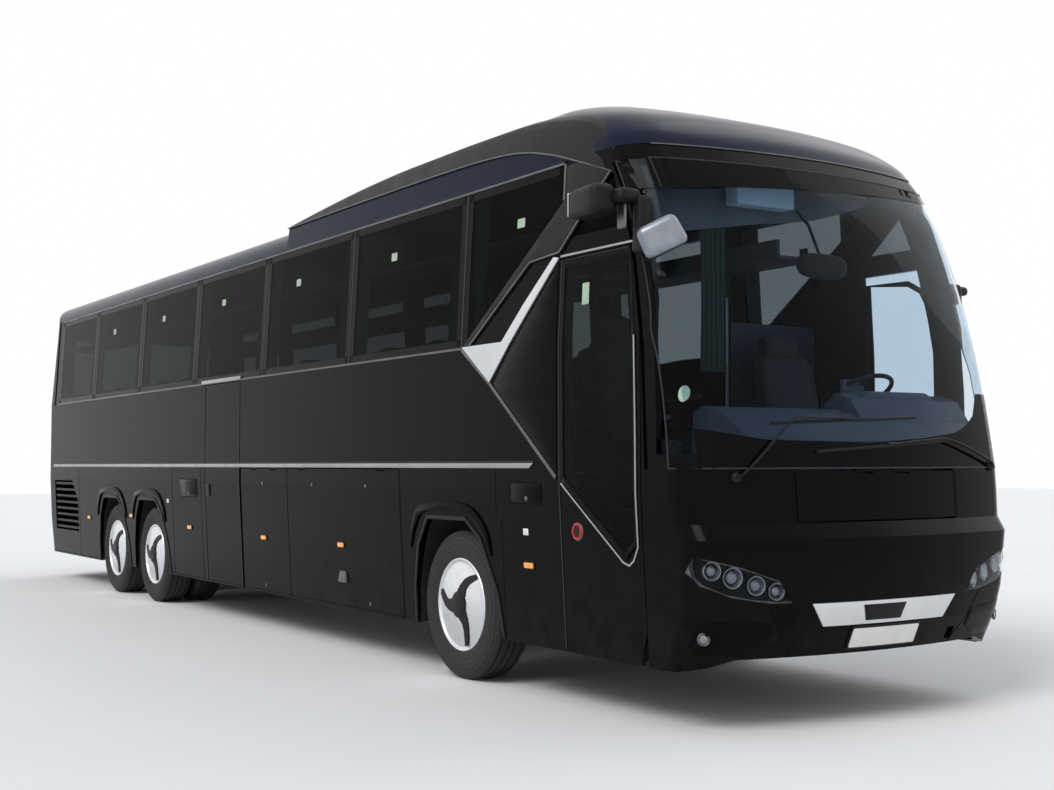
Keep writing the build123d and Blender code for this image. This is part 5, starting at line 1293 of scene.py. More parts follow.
@dataclass
class FrontEnd:
    """Bumper details: lamps, bar, blank plate, fog lamps and seams."""

    def bar(self) -> None:
        """Satin bar with a dark insert, no lettering, and the blank number plate."""
        plate("front_bar", [[(-0.575, 0.702), (0.565, 0.702), (0.475, 0.570), (-0.480, 0.570)]], on_nose,
              BRIGHT_PANEL, 0.012, 0.0, BUMPER_PITCH, 0.004, levels=(0.56, 0.72))
        plate("front_bar_insert", [[(-0.215, 0.682), (0.115, 0.682), (0.085, 0.592), (-0.185, 0.592)]],
              on_nose, SATIN_BLACK, 0.003, 0.012, BUMPER_PITCH, 0.001, levels=(0.56, 0.72))
        plate("number_plate", [rounded(-0.26, 0.26, 0.440, 0.550, 0.010)], on_nose, WHITE_PLASTIC, 0.004,
              0.012, BUMPER_PITCH, 0.001, levels=())
        plate("number_plate_frame", [rounded(-0.272, 0.272, 0.428, 0.562, 0.014)], on_nose, SATIN_BLACK,
              0.012, 0.0, BUMPER_PITCH, 0.003, levels=())

    def seams(self) -> None:
        """Shut lines of the bumper, flap and screen surround."""
        lines = []
        for way in (-1, 1):
            lines.append(strip([(way * 0.84, 0.700), (way * 0.76, 0.560), (way * 0.63, 0.405)], 0.007))
            lines.append(strip([(way * 0.655, 1.150), (way * 0.655, 1.425)], 0.008))
        plate("front_seams", lines, on_nose, SHUT_LINE, 0.001, 0.0002, LINE_PITCH, 0.0,
              levels=(0.56, 0.72, 1.3))

    def fog_lamps(self) -> None:
        """Recessed-looking pockets with a round lamp each."""
        for side, word in SIDE_WORDS.items():
            pocket = [(0.780, 0.600), (1.150, 0.625), (1.200, 0.600), (1.205, 0.470), (1.150, 0.425),
                      (0.900, 0.420), (0.760, 0.500)]
            plate(f"fog_pocket_{word}", [on_half(side, pocket)], on_nose, PIANO_BLACK, 0.002, 0.0005,
                  LINE_PITCH, 0.001, levels=(0.56,))
            for name, finish, profile in (
                    ("fog_bezel", DULL_TRIM, [(0.024, 0.0), (0.034, 0.0), (0.036, 0.010), (0.032, 0.014),
                                              (0.027, 0.010), (0.024, 0.002)]),
                    ("fog_glass", LAMP_GLASS, [(0.027, 0.002), (0.024, 0.008), (0.014, 0.012),
                                               (0.0, 0.013)])):
                bm = bmesh.new()
                spin_mesh(bm, profile, NOSE.point(side * 1.165, 0.525, 0.002), (1.0, side * 0.55, 0.0), 36)
                finish_piece(bm, f"{name}_{word}", finish)

    def build(self) -> None:
        """Builds the front's pieces."""
        covers = [Headlamp(side).build() for side in (LEFT, RIGHT)]
        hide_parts("lamps")
        self.bar()
        self.seams()
        self.fog_lamps()


# ---------------------------------------------------------------- roof, dome and corner band
def sheet_mesh(bm: bmesh.types.BMesh, across: int, along: int,
               place: Callable[[float, float], Vector]) -> None:
    """Adds a grid whose corners are placed by two shares from 0 to 1."""
    made = bmesh.ops.create_grid(bm, x_segments=across, y_segments=along, size=0.5)["verts"]
    for v in made:
        v.co = place(min(max(v.co.x + 0.5, 0.0), 1.0), min(max(v.co.y + 0.5, 0.0), 1.0))


def row_at(rows: Sequence[Sequence[float]], share: float) -> list[float]:
    """Values a share of the way down a table."""
    spot = share * (len(rows) - 1)
    i = min(int(spot), len(rows) - 2)
    return [a + (b - a) * (spot - i) for a, b in zip(rows[i], rows[i + 1])]


def around(row: Sequence[float], cut: float, share: float) -> tuple[float, float, float]:
    """Point on a level section of the front.

    Args:
        row: height, tip station, sagitta, corner radius and half width.
        cut: station where the section's straight sides begin.
        share: 0 at the right side's rear end, 1 at the left's.
    Returns:
        Its station, y and height.
    """
    z, tip, sag, radius, w = row
    reach = tip - cut
    bow = (w * w + sag * sag) / (2 * sag)
    yc = w - radius
    xc = reach - bow + math.sqrt(max((bow - radius) ** 2 - yc * yc, 0.0))
    turn = math.atan2(yc, xc - (reach - bow))
    lengths = (max(xc, 0.0), radius * (math.pi / 2 - turn), bow * turn)
    side = -1.0 if share < 0.5 else 1.0
    run = (1.0 - abs(2 * share - 1.0)) * sum(lengths)
    if run <= lengths[0]:
        return cut + run, side * w, z
    run -= lengths[0]
    if run <= lengths[1]:
        angle = math.pi / 2 - run / radius
        return cut + xc + radius * math.cos(angle), side * (yc + radius * math.sin(angle)), z
    angle = turn - (run - lengths[1]) / bow
    return cut + reach - bow + bow * math.cos(angle), side * bow * math.sin(angle), z


@dataclass
class Dome:
    """Rounded front dome above the windscreen."""

    cut: float = 0.4003
    # (height, tip station, sagitta, corner radius, half width), lowest first
    rows: tuple[tuple[float, float, float, float, float], ...] = (
        (3.338, 2.142, 0.20, 0.26, 1.215), (3.450, 2.045, 0.20, 0.29, 1.192),
        (3.600, 1.800, 0.19, 0.33, 1.118),
        (3.735, 1.410, 0.17, 0.37, 0.975), (3.815, 1.130, 0.14, 0.40, 0.790),
        (3.844, 0.900, 0.11, 0.40, 0.600))

    def build(self) -> None:
        """Builds the dome's skin, its closed top and its seam."""
        rows = smooth_line(self.rows, 6)
        bm = bmesh.new()

        def skin(u: float, v: float) -> Vector:
            """World point of the skin, across by u and upwards by v."""
            s, y, z = around(row_at(rows, v), self.cut, u)
            return Vector((st(s), y, z))

        def cap(u: float, v: float) -> Vector:
            """World point of the flat top, from its rim to its rear middle by v."""
            s, y, z = around(rows[-1], self.cut, u)
            return Vector((st(self.cut + (s - self.cut) * (1 - v)), y * (1 - v),
                           z - 0.001 * (1 - abs(1 - 2 * v))))

        sheet_mesh(bm, 72, 30, skin)
        sheet_mesh(bm, 72, 4, cap)
        made = finish_piece(bm, "dome_skin", ROOF_PAINT, smooth=60.0)
        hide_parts("front_dome")
        seam = [around((3.338, 2.142, 0.20, 0.26, 1.217), self.cut, 0.30 + 0.40 * i / 40) for i in range(41)]
        tubes("dome_seam", [[(st(s), y, z) for s, y, z in seam]], 0.0045, DULL_TRIM, segments=8)


@dataclass
class RoofBand(Sided):
    """Satin fairing along one roof edge that runs down into the corner band."""

    side: int
    # station, then (y, height) of the outer edge, of two points over the crest and of the inner edge
    rows: tuple[tuple[float, ...], ...] = (
        (-3.05, 1.200, 3.532, 1.185, 3.548, 1.150, 3.552, 1.110, 3.540),
        (-2.10, 1.214, 3.530, 1.170, 3.622, 1.120, 3.634, 1.060, 3.580),
        (-1.30, 1.217, 3.530, 1.155, 3.668, 1.110, 3.692, 1.030, 3.620),
        (-0.30, 1.218, 3.528, 1.155, 3.682, 1.105, 3.704, 1.000, 3.640),
        (0.35, 1.220, 3.515, 1.155, 3.680, 1.100, 3.704, 0.960, 3.660),
        (0.80, 1.222, 3.480, 1.160, 3.665, 1.100, 3.695, 0.950, 3.685),
        (1.15, 1.224, 3.405, 1.170, 3.625, 1.110, 3.660, 0.980, 3.665),
        (1.45, 1.226, 3.310, 1.185, 3.560, 1.125, 3.600, 1.010, 3.625),
        (1.68, 1.226, 3.230, 1.195, 3.450, 1.150, 3.490, 1.060, 3.525),
        (1.82, 1.212, 3.180, 1.198, 3.330, 1.165, 3.360, 1.100, 3.390))

    def build(self) -> None:
        """Builds the fairing, the filler under it, its edge line and the corner band."""
        rows = smooth_line(self.rows, 5)
        bm = bmesh.new()

        def skin(u: float, v: float) -> Vector:
            """World point of the fairing, inwards by u and forwards by v."""
            row = row_at(rows, v)
            y, z = row_at([row[i:i + 2] for i in (1, 3, 5, 7)], u)
            return Vector((st(row[0]), self.side * y, z))

        def cove(u: float, v: float) -> Vector:
            """World point of the filler between the side's top edge and the fairing."""
            row = row_at(rows, v)
            y = self.side * (1.213 + (row[1] - 1.223) * u)
            return Vector((st(row[0]), y, 3.337 + (row[2] - 3.335) * u))

        sheet_mesh(bm, 12, 60, skin)
        under = bmesh.new()
        sheet_mesh(under, 4, 60, cove)
        finish_piece(under, f"roof_cove_{self.word}", ROOF_PAINT)
        made = finish_piece(bm, f"roof_band_{self.word}", SATIN_BLACK, smooth=50.0)
        if self.side == LEFT:
            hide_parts("roof_fairings")
        low = [skin(0.0, i / 60) + Vector((0, self.side * 0.002, 0)) for i in range(61)]
        tubes(f"roof_band_line_{self.word}", [low], 0.006, DULL_TRIM, segments=8)
        swoosh = [(0.150, 2.262), (1.330, 3.085), (1.330, 3.300), (1.480, 3.300), (1.620, 3.255),
                  (1.790, 3.190), (1.650, 3.060), (1.500, 2.950), (1.310, 2.775), (0.960, 2.752),
                  (0.235, 2.268)]
        plate(f"corner_band_{self.word}", [swoosh], on_corner(self.side), SATIN_BLACK, 0.016, 0.0,
              BROAD_PITCH, 0.004, levels=(2.9, 3.24))
        edge = [(0.235, 2.262), (0.960, 2.746), (1.295, 2.770), (1.500, 2.945), (1.800, 3.185)]
        plate(f"corner_band_line_{self.word}", [strip(edge, 0.012)], on_corner(self.side), DULL_TRIM, 0.018,
              0.0, BROAD_PITCH, 0.002, levels=(2.9,))


@dataclass
class RoofUnit:
    """Rounded cooling unit on the roof with its louvres."""

    # (station, height of the top, half width), from rear to front
    rows: tuple[tuple[float, float, float], ...] = ((-3.02, 3.555, 0.86), (-2.60, 3.640, 0.92),
                                                    (-2.00, 3.715, 0.95), (-1.30, 3.782, 0.95),
                                                    (-0.40, 3.797, 0.95), (0.396, 3.799, 0.95))

    def build(self) -> None:
        """Builds the housing, its louvres and the roof hatches behind it."""
        rows = smooth_line(self.rows, 5)

        def skin(u: float, v: float) -> Vector:
            """World point of the housing, across by u and forwards by v."""
            s, top, half = row_at(rows, v)
            share = abs(2 * u - 1)
            side = -1 if u < 0.5 else 1
            drop = between(((0.0, 0.0), (0.5, 0.012), (0.8, 0.050), (0.93, 0.110), (1.0, 0.26)), share)
            y = half * between(((0.0, 0.0), (0.5, 0.52), (0.8, 0.86), (0.93, 0.97), (1.0, 1.0)), share)
            return Vector((st(s), side * y, max(top - drop, 3.46)))

        bm = bmesh.new()
        sheet_mesh(bm, 40, 30, skin)
        made = finish_piece(bm, "roof_unit_shell", ROOF_PAINT, smooth=60.0)
        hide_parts("roof_ac_unit")
        slats = [(-2.0 + i * 0.085, -1.965 + i * 0.085, -0.55, 0.55, 3.70, 3.735 + 0.0022 * i)
                 for i in range(20)]
        blocks("roof_unit_louvres", [(a, b, y0, y1, z0, min(z1 + 0.03, 3.812))
                                     for a, b, y0, y1, z0, z1 in slats], SATIN_BLACK, 0.006)
        hatches = [(s, s + 0.72, -0.36, 0.36, 3.50, z) for s, z in ((-5.6, 3.735), (-8.9, 3.735))]
        blocks("roof_hatches", hatches, SATIN_BLACK, 0.02)


# ---------------------------------------------------------------- mirrors and entrance door
@dataclass
class Mirrors:
    """Mirror heads, arms and feet of both sides."""

    def right_head(self) -> None:
        """Main kerb-side head with its glass, and the arm to the pillar."""
        bm = bmesh.new()
        block_mesh(bm, (1.765, 2.075, -1.535, -1.370, 2.875, 3.055), 0.045, 5, (1.0, 0.92),
                   Matrix.Rotation(math.radians(-6), 4, "Z"))
        block_mesh(bm, (1.985, 2.150, -1.425, -1.255, 2.945, 3.025), 0.030, 4, (1.0, 0.8))
        block_mesh(bm, (2.095, 2.175, -1.300, -1.215, 2.700, 2.985), 0.022, 4)
        block_mesh(bm, (2.085, 2.240, -1.315, -1.195, 2.655, 2.790), 0.035, 4, (0.8, 0.9))
        made = finish_piece(bm, "mirror_shells_right", SATIN_BLACK, smooth=45.0)
        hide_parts("mirrors")
        blocks("mirror_glass_right", [(1.758, 1.772, -1.515, -1.390, 2.895, 3.035)], MIRROR_GLASS, 0.006)
        blocks("mirror_wing_right", [(2.02, 2.10, -1.352, -1.330, 2.800, 2.945)], DULL_TRIM, 0.010)

    def kerb_head(self) -> None:
        """Brushed kerb mirror on its short stalk."""
        bm = bmesh.new()
        block_mesh(bm, (2.310, 2.410, -1.425, -1.165, 2.625, 2.815), 0.046, 6, (0.9, 0.92),
                   Matrix.Rotation(math.radians(-32), 4, "Z") @ Matrix.Rotation(math.radians(26), 4, "X"))
        finish_piece(bm, "kerb_mirror_shell", BRUSHED_SHELL, smooth=45.0)
        tubes("kerb_mirror_stalk", [[(st(2.16), -1.262, 2.725), (st(2.24), -1.285, 2.722),
                                     (st(2.32), -1.310, 2.712)]], 0.024, SATIN_BLACK, segments=14)

    def left_head(self) -> None:
        """Tall driver-side head."""
        bm = bmesh.new()
        block_mesh(bm, (1.930, 2.060, 1.345, 1.535, 2.225, 2.615), 0.045, 5, (0.85, 0.9))
        block_mesh(bm, (2.030, 2.180, 1.255, 1.420, 2.575, 2.635), 0.025, 4)
        block_mesh(bm, (2.100, 2.230, 1.205, 1.305, 2.505, 2.640), 0.030, 4)
        finish_piece(bm, "mirror_shells_left", SATIN_BLACK, smooth=45.0)
        blocks("mirror_glass_left", [(1.922, 1.936, 1.370, 1.510, 2.260, 2.580)], MIRROR_GLASS, 0.006)

    def build(self) -> None:
        """Builds every mirror."""
        self.right_head()
        self.kerb_head()
        self.left_head()


@dataclass
class EntryDoor:
    """Trim of the passenger door: bright glass edge, seals, handle and blank sticker."""

    body: str = "front_door"

    def build(self) -> None:
        """Builds the door's pieces."""
        face = on_corner(RIGHT)
        edge = [(1.335, 1.352), (1.640, 1.128), (1.945, 0.905), (2.000, 0.890), (2.045, 0.920),
                (2.090, 1.000), (2.088, 1.60), (2.080, 2.20)]
        plate("door_bright_edge", [strip(edge, 0.012)], face, BRIGHT_TRIM, 0.007, 0.0, DOOR_EDGE_PITCH, 0.002,
              self.body, levels=(1.055, 1.14, 1.3, 1.44))
        frame_line = strip([(1.345, 1.375), (1.345, 2.690), (2.015, 2.690), (2.075, 2.200), (2.083, 1.000)],
                           0.030)
        plate("door_glass_border", [frame_line], face, PIANO_BLACK, 0.003, 0.0, DOOR_EDGE_PITCH, 0.001,
              self.body, levels=(1.44, 2.2))
        lower = strip([(1.345, 1.385), (1.650, 1.165), (1.965, 0.940), (2.070, 1.030)], 0.040)
        plate("door_glass_lower_border", [lower], face, PIANO_BLACK, 0.0026, 0.0, DOOR_EDGE_PITCH, 0.001,
              self.body, levels=(1.055, 1.14, 1.3))
        seal = strip([(1.314, 0.340), (1.314, 2.714), (2.000, 2.714)], 0.010)
        plate("door_seal", [seal], face, SEAL, 0.004, 0.0, DOOR_PITCH, 0.0015, self.body, levels=(1.44, 2.2))
        cup = face(1.49, 1.065, 0.0)
        way = (0.0, -1.0, 0.0)
        for name, finish, profile in (
                ("door_handle_plate", DULL_TRIM, [(0.0, 0.004), (0.054, 0.004), (0.058, 0.0),
                                                  (0.058, -0.004)]),
                # The ring's finish carries a painted glow; the ring is no lamp.
                ("door_handle_ring", RED_RING_PAINTED_GLOW, [(0.036, 0.003), (0.038, 0.010), (0.047, 0.010),
                                                (0.049, 0.003)]),
                ("door_handle_grip", SATIN_BLACK, [(0.036, 0.004), (0.034, 0.009), (0.0, 0.010)])):
            bm = bmesh.new()
            spin_mesh(bm, profile, cup, way, 32)
            finish_piece(bm, name, finish, self.body)
        sticker = rounded(1.55, 1.62, 2.42, 2.55, 0.006)
        plate("door_sticker", [sticker], face, STICKER, 0.0012, 0.003, DOOR_PITCH, 0.0, self.body, levels=())
        top = strip([(1.30, 2.742), (1.70, 2.742), (2.06, 2.742)], 0.014)
        plate("door_top_line", [top], face, BRIGHT_TRIM, 0.008, 0.0, DOOR_PITCH, 0.002, levels=())


# ---------------------------------------------------------------- glazing, curtains and seats
@dataclass
class SidePanes:
    """Tinted panes of both sides, the driver's clear window and the rear pane."""

    low: float = 2.250
    high: float = 3.328
    thick: float = 0.006

    def build(self) -> None:
        """Builds the panes."""
        made = None
        for side, word in SIDE_WORDS.items():
            panes = [[(b + 0.004, self.low), (a - 0.004, self.low), (a - 0.004, self.high),
                      (b + 0.004, self.high)] for a, b in zip(PILLARS[1:], PILLARS[2:])]
            panes.append([(0.124, self.low), (0.150, self.low), (1.326, 3.078), (1.326, self.high),
                          (0.124, self.high)])
            made = plate(f"side_panes_{word}", panes, on_side(side), SIDE_GLASS, self.thick, -self.thick,
                         bevel=0.0, slot="side_glazing", levels=())
            top = [(1.372, 2.852), (1.938, 2.852), (1.818, 3.178), (1.740, 3.213)]
            plate(f"top_pane_{word}", [top], on_corner(side), SIDE_GLASS, self.thick, -self.thick,
                  GLASS_PITCH, 0.001, levels=(2.9,))
        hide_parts("side_glass")
        window = [(1.372, 1.462), (2.093, 1.462), (2.093, 2.195), (2.018, 2.590), (1.983, 2.740),
                  (1.958, 2.818), (1.372, 2.818)]
        plate("driver_window", [window], on_corner(LEFT), CLEAR_GLASS, self.thick, -self.thick, WINDOW_PITCH,
              0.001, levels=(2.2,))
        ring = [(1.46, 1.56), (1.46, 2.70), (1.82, 2.68), (1.93, 2.62), (1.985, 2.52), (2.03, 2.20),
                (2.03, 1.56), (1.46, 1.56)]
        plate("driver_window_frame", [strip(ring, 0.040)], on_corner(LEFT), SATIN_BLACK, 0.012, -0.024,
              WINDOW_PITCH, 0.003, levels=(2.2,))
        plate("rear_pane", [rounded(-0.998, 0.998, 2.352, 3.178, 0.08)], on_tail, SIDE_GLASS, self.thick,
              -self.thick, BROAD_PITCH, 0.001, levels=())
        border = strip([*rounded(-0.985, 0.985, 2.365, 3.165, 0.08), (0.985, 3.085)], 0.05)
        plate("rear_pane_border", [border], on_tail, PIANO_BLACK, 0.0012, 0.0003, BROAD_PITCH, 0.0, levels=())


CURTAIN_INSET = 0.031          # from the coach's outer face to the cloth's middle
RAIL_LIFT = 0.004              # from the cloth's top edge to the rail's middle
GATHERED = (0.065, 0.250)      # where a curtain starts and ends, from its pillar's middle


@dataclass
class Curtain:
    """One gathered curtain with its pleats.

    It hangs beside a pillar between two stations. If across_at holds a station, it hangs across the
    coach there, and start and end are distances from the centre line.
    """

    name: str
    start: float
    end: float
    side: int
    low: float = 2.275
    high: float = 3.300
    depth: float = 0.008
    pleats: int = 5
    across_at: float | None = None

    def build(self) -> None:
        bm = bmesh.new()
        columns, rows = self.pleats * 10, 14

        def place(u: float, v: float) -> Vector:
            """World point of the cloth, along its width by u and upwards by v."""
            width = 1.0 - 0.10 * math.sin(math.pi * v)
            along = self.start + (self.end - self.start) * (0.5 + (u - 0.5) * width)
            swing = 0.75 + 0.25 * math.cos(3.0 * u + 2.0 * v)
            fold = self.depth * math.sin(math.tau * self.pleats * u) * swing
            z = self.low + (self.high - self.low) * v
            if self.across_at is not None:
                return Vector((st(self.across_at) + fold, along, z))
            return Vector((st(along), self.side * (half_width(z) - CURTAIN_INSET + fold), z))

        sheet_mesh(bm, columns, rows, place)
        area = sum(f.calc_area() for f in bm.faces)
        made = finish_piece(bm, self.name, CURTAIN_CLOTH, smooth=180.0)
        rail_z = self.high + RAIL_LIFT
        if self.across_at is None:
            y = self.side * (half_width(self.high) - CURTAIN_INSET)
            ends = [(st(s), y, rail_z) for s in (self.start, self.end)]
        else:
            ends = [(st(self.across_at), y, rail_z) for y in (self.start, self.end)]
        tubes(f"{self.name}_rail", [ends], 0.005, DULL_TRIM, segments=8)


def build_curtains() -> None:
    """Curtains on both sides of every pillar, and the one behind the driver."""
    for side, word in SIDE_WORDS.items():
        for i, s in enumerate(PILLARS[1:-1]):
            Curtain(f"curtain_{word}_{i}a", s - GATHERED[1], s - GATHERED[0], side).build()
            Curtain(f"curtain_{word}_{i}b", s + GATHERED[0], s + GATHERED[1], side).build()
    Curtain("curtain_cab", 0.14, 0.38, LEFT, 2.10, 3.20, 0.022, 5, 0.945).build()
    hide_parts("curtains")


def pad_mesh(bm: bmesh.types.BMesh, size: Sequence[float], turn: Matrix | None = None, channels: int = 0,
             power: float = 5.0, cuts: int = 6) -> None:
    """Adds one stuffed, crowned pad.

    Args:
        bm: the mesh that it goes into.
        size: (station, station, y, y, height, height).
        turn: a rotation about its middle.
        channels: how many sewn channels run down its broad face.
        power: how square it is.
        cuts: how finely it is divided.
    """
    a, b, y0, y1, z0, z1 = size
    pad = bmesh.new()
    bmesh.ops.create_cube(pad, size=2.0)
    bmesh.ops.subdivide_edges(pad, edges=pad.edges[:], cuts=cuts, use_grid_fill=True)
    half = Vector((abs(b - a) / 2, abs(y1 - y0) / 2, abs(z1 - z0) / 2))
    for v in pad.verts:
        norm = sum(abs(c) ** power for c in v.co) ** (1 / power)
        p = v.co / norm
        if channels:
            groove = 1.0 - 0.07 * abs(math.cos(math.pi * channels * (p.y + 1) / 2)) ** 6 * (1 - abs(p.z) ** 4)
            p = Vector((p.x * groove, p.y, p.z))
        v.co = Vector((p.x * half.x, p.y * half.y, p.z * half.z))
    centre = Matrix.Translation((st((a + b) / 2), (y0 + y1) / 2, (z0 + z1) / 2))
    bmesh.ops.transform(pad, matrix=centre @ (turn or Matrix.Identity(4)), verts=pad.verts)
    shell = bpy.data.meshes.new("pad")
    pad.to_mesh(shell)
    pad.free()
    bm.from_mesh(shell)
    bpy.data.meshes.remove(shell)


DECK_Z = 1.400                 # height of the passenger floor
SEAT_ROWS = 12
FIRST_ROW = -0.150             # station of the first row's front edge
ROW_PITCH = 0.790
STAIR_ROWS = (-4.920 - 0.3, -3.980 + 0.55)     # stations where the middle stairs leave no room for seats


@dataclass
class Seat:
    """One upholstered seat: cushion, back, headrest and pedestal."""

    front: float
    y: float
    floor: float
    width: float = 0.44
    high: float = 1.0
    depth: float = 0.46
    cuts: int = 5

    def pads(self, bm: bmesh.types.BMesh) -> None:
        """Adds the seat's pads."""
        s, y, z, w = self.front, self.y, self.floor, self.width / 2
        lean = Matrix.Rotation(math.radians(-13), 4, "Y")
        pad_mesh(bm, (s - self.depth, s + 0.02, y - w, y + w, z + 0.32, z + 0.455), channels=3,
                 cuts=self.cuts)
        top = z + self.high
        pad_mesh(bm, (s - self.depth - 0.13, s - self.depth + 0.01, y - w * 0.97, y + w * 0.97, z + 0.40,
                      top - 0.14), lean, 3, cuts=self.cuts)
        pad_mesh(bm, (s - self.depth - 0.21, s - self.depth - 0.10, y - w * 0.62, y + w * 0.62, top - 0.22,
                      top - 0.01), lean, cuts=self.cuts)

    def legs(self, bm: bmesh.types.BMesh) -> None:
        """Adds the seat's pedestal and arm."""
        s, y, z, w = self.front, self.y, self.floor, self.width / 2
        block_mesh(bm, (s - self.depth + 0.07, s - 0.07, y - w * 0.75, y + w * 0.75, z + 0.001, z + 0.325),
                   0.02, 2, (1.1, 1.0))
        block_mesh(bm, (s - self.depth - 0.02, s - 0.12, y + w - 0.015, y + w + 0.02, z + 0.58, z + 0.62),
                   0.012, 2)


def build_seats() -> None:
    """Passenger seats in pairs, and the two cab seats."""
    pads, legs, piping = bmesh.new(), bmesh.new(), bmesh.new()
    for row in range(SEAT_ROWS):
        front = FIRST_ROW - row * ROW_PITCH
        for side in (LEFT, RIGHT):
            if side == RIGHT and STAIR_ROWS[0] < front < STAIR_ROWS[1]:
                continue
            for y in (0.465, 0.915):
                seat = Seat(front, side * y, DECK_Z, 0.435)
                seat.pads(pads)
                seat.legs(legs)
                x, top = st(front - 0.60), DECK_Z + 0.86
                seam = ((0.028, -0.19, -0.28), (-0.012, -0.20, -0.06), (-0.03, -0.10, 0.01),
                        (-0.03, 0.10, 0.01), (-0.012, 0.20, -0.06), (0.028, 0.19, -0.28))
                tube_mesh(piping, [(x + dx, side * y + dy, top + dz) for dx, dy, dz in seam], 0.005, 6)
    made = finish_piece(pads, "passenger_seat_pads", SEAT_CLOTH, smooth=80.0)
    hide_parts("passenger_seats")
    finish_piece(legs, "passenger_seat_frames", GREY_PLASTIC)
    finish_piece(piping, "passenger_seat_piping", PIPING)
    cab = bmesh.new()
    frames = bmesh.new()
    driver = Seat(1.80, 0.640, 1.100, 0.50, 1.26, cuts=7)
    guide = Seat(1.27, -0.430, 1.180, 0.44, 1.30, 0.40, 7)
    for seat in (driver, guide):
        seat.pads(cab)
        seat.legs(frames)
    block_mesh(frames, (0.880, 1.200, -0.600, -0.260, 0.881, 1.180), 0.02, 2)
    made = finish_piece(cab, "cab_seat_pads", SEAT_CLOTH, smooth=80.0)
    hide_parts("cab_seats")
    finish_piece(frames, "cab_seat_frames", GREY_PLASTIC)


@dataclass
class Cab:
    """Fittings round the driver: instruments, rail, canopy, interior mirror and screen sticker."""

    def dash(self) -> None:
        """Instrument hood with its monitor, vents, trim line and the rail behind the driver."""
        bm = bmesh.new()
        block_mesh(bm, (2.02, 2.30, 0.34, 0.96, 1.80, 1.915), 0.045, 5, (0.8, 0.94))
        block_mesh(bm, (1.985, 2.030, 0.41, 0.60, 1.86, 2.000), 0.018, 3)
        finish_piece(bm, "instrument_hood", DASH_SKIN)
        vents = [(2.085, 2.105, y, y + 0.16, 1.66, 1.72) for y in (-0.72, -0.40, 0.02, 1.02)]
        blocks("dash_vents", vents, SATIN_BLACK, 0.006)
        blocks("dash_trim_line", [(2.045, 2.066, -0.845, 1.13, 1.545, 1.565)], DULL_TRIM, 0.004)
        tubes("cab_rail", [[(st(0.95), 0.37, 1.10), (st(0.95), 0.37, 2.62)]], 0.015, DULL_TRIM)

    def overhead(self) -> None:
        """Pale canopy over the screen, white box, and the mirror on its stalk."""
        lip = [(0.85, 3.232), (0.46, 3.232), (0.05, 3.200), (-0.95, 3.100), (-1.00, 2.850), (-0.60, 2.905),
               (-0.24, 2.960), (0.05, 2.995), (0.29, 3.030), (0.60, 3.110), (0.82, 3.180)]

        def hung(y: float, z: float, out: float) -> Vector:
            """Places (y, height, out) on the canopy's curved face."""
            return Vector((st(1.88 - 0.10 * y * y) + out, y, z))

        plate("canopy_lip", [lip], hung, PALE_TRIM, 0.020, 0.0, CANOPY_PITCH, 0.006, levels=())
        plate("canopy_face", [[(y * 0.985, z - 0.016 if z < 3.05 or y > 0.2 else z) for y, z in lip]], hung,
              GREY_PLASTIC, 0.004, 0.021, CANOPY_PITCH, 0.001, levels=())
        blocks("overhead_box", [(1.94, 2.06, -0.48, -0.02, 3.030, 3.175)], WHITE_PLASTIC, 0.012)
        bm = bmesh.new()
        pad_mesh(bm, (2.13, 2.19, -0.10, 0.31, 2.600, 2.755), power=3.0)
        finish_piece(bm, "interior_mirror", SATIN_BLACK, smooth=70.0)
        tubes("interior_mirror_stalk", [[(st(2.15), 0.10, 2.74), (st(2.05), 0.10, 2.95),
                                         (st(1.95), 0.10, 3.05)]], 0.010, SATIN_BLACK)

    def sticker(self) -> None:
        """Round blank sticker low in the screen."""
        round_one = [(2.448 + 0.024 * math.cos(math.tau * i / 28),
                      1.850 + 0.045 * math.sin(math.tau * i / 28)) for i in range(28)]
        plate("screen_sticker", [round_one], on_corner(RIGHT), STICKER, 0.001, 0.0016, LAMP_PITCH, 0.0,
              levels=())

    def build(self) -> None:
        """Builds the cab's pieces."""
        self.dash()
        self.overhead()
        self.sticker()


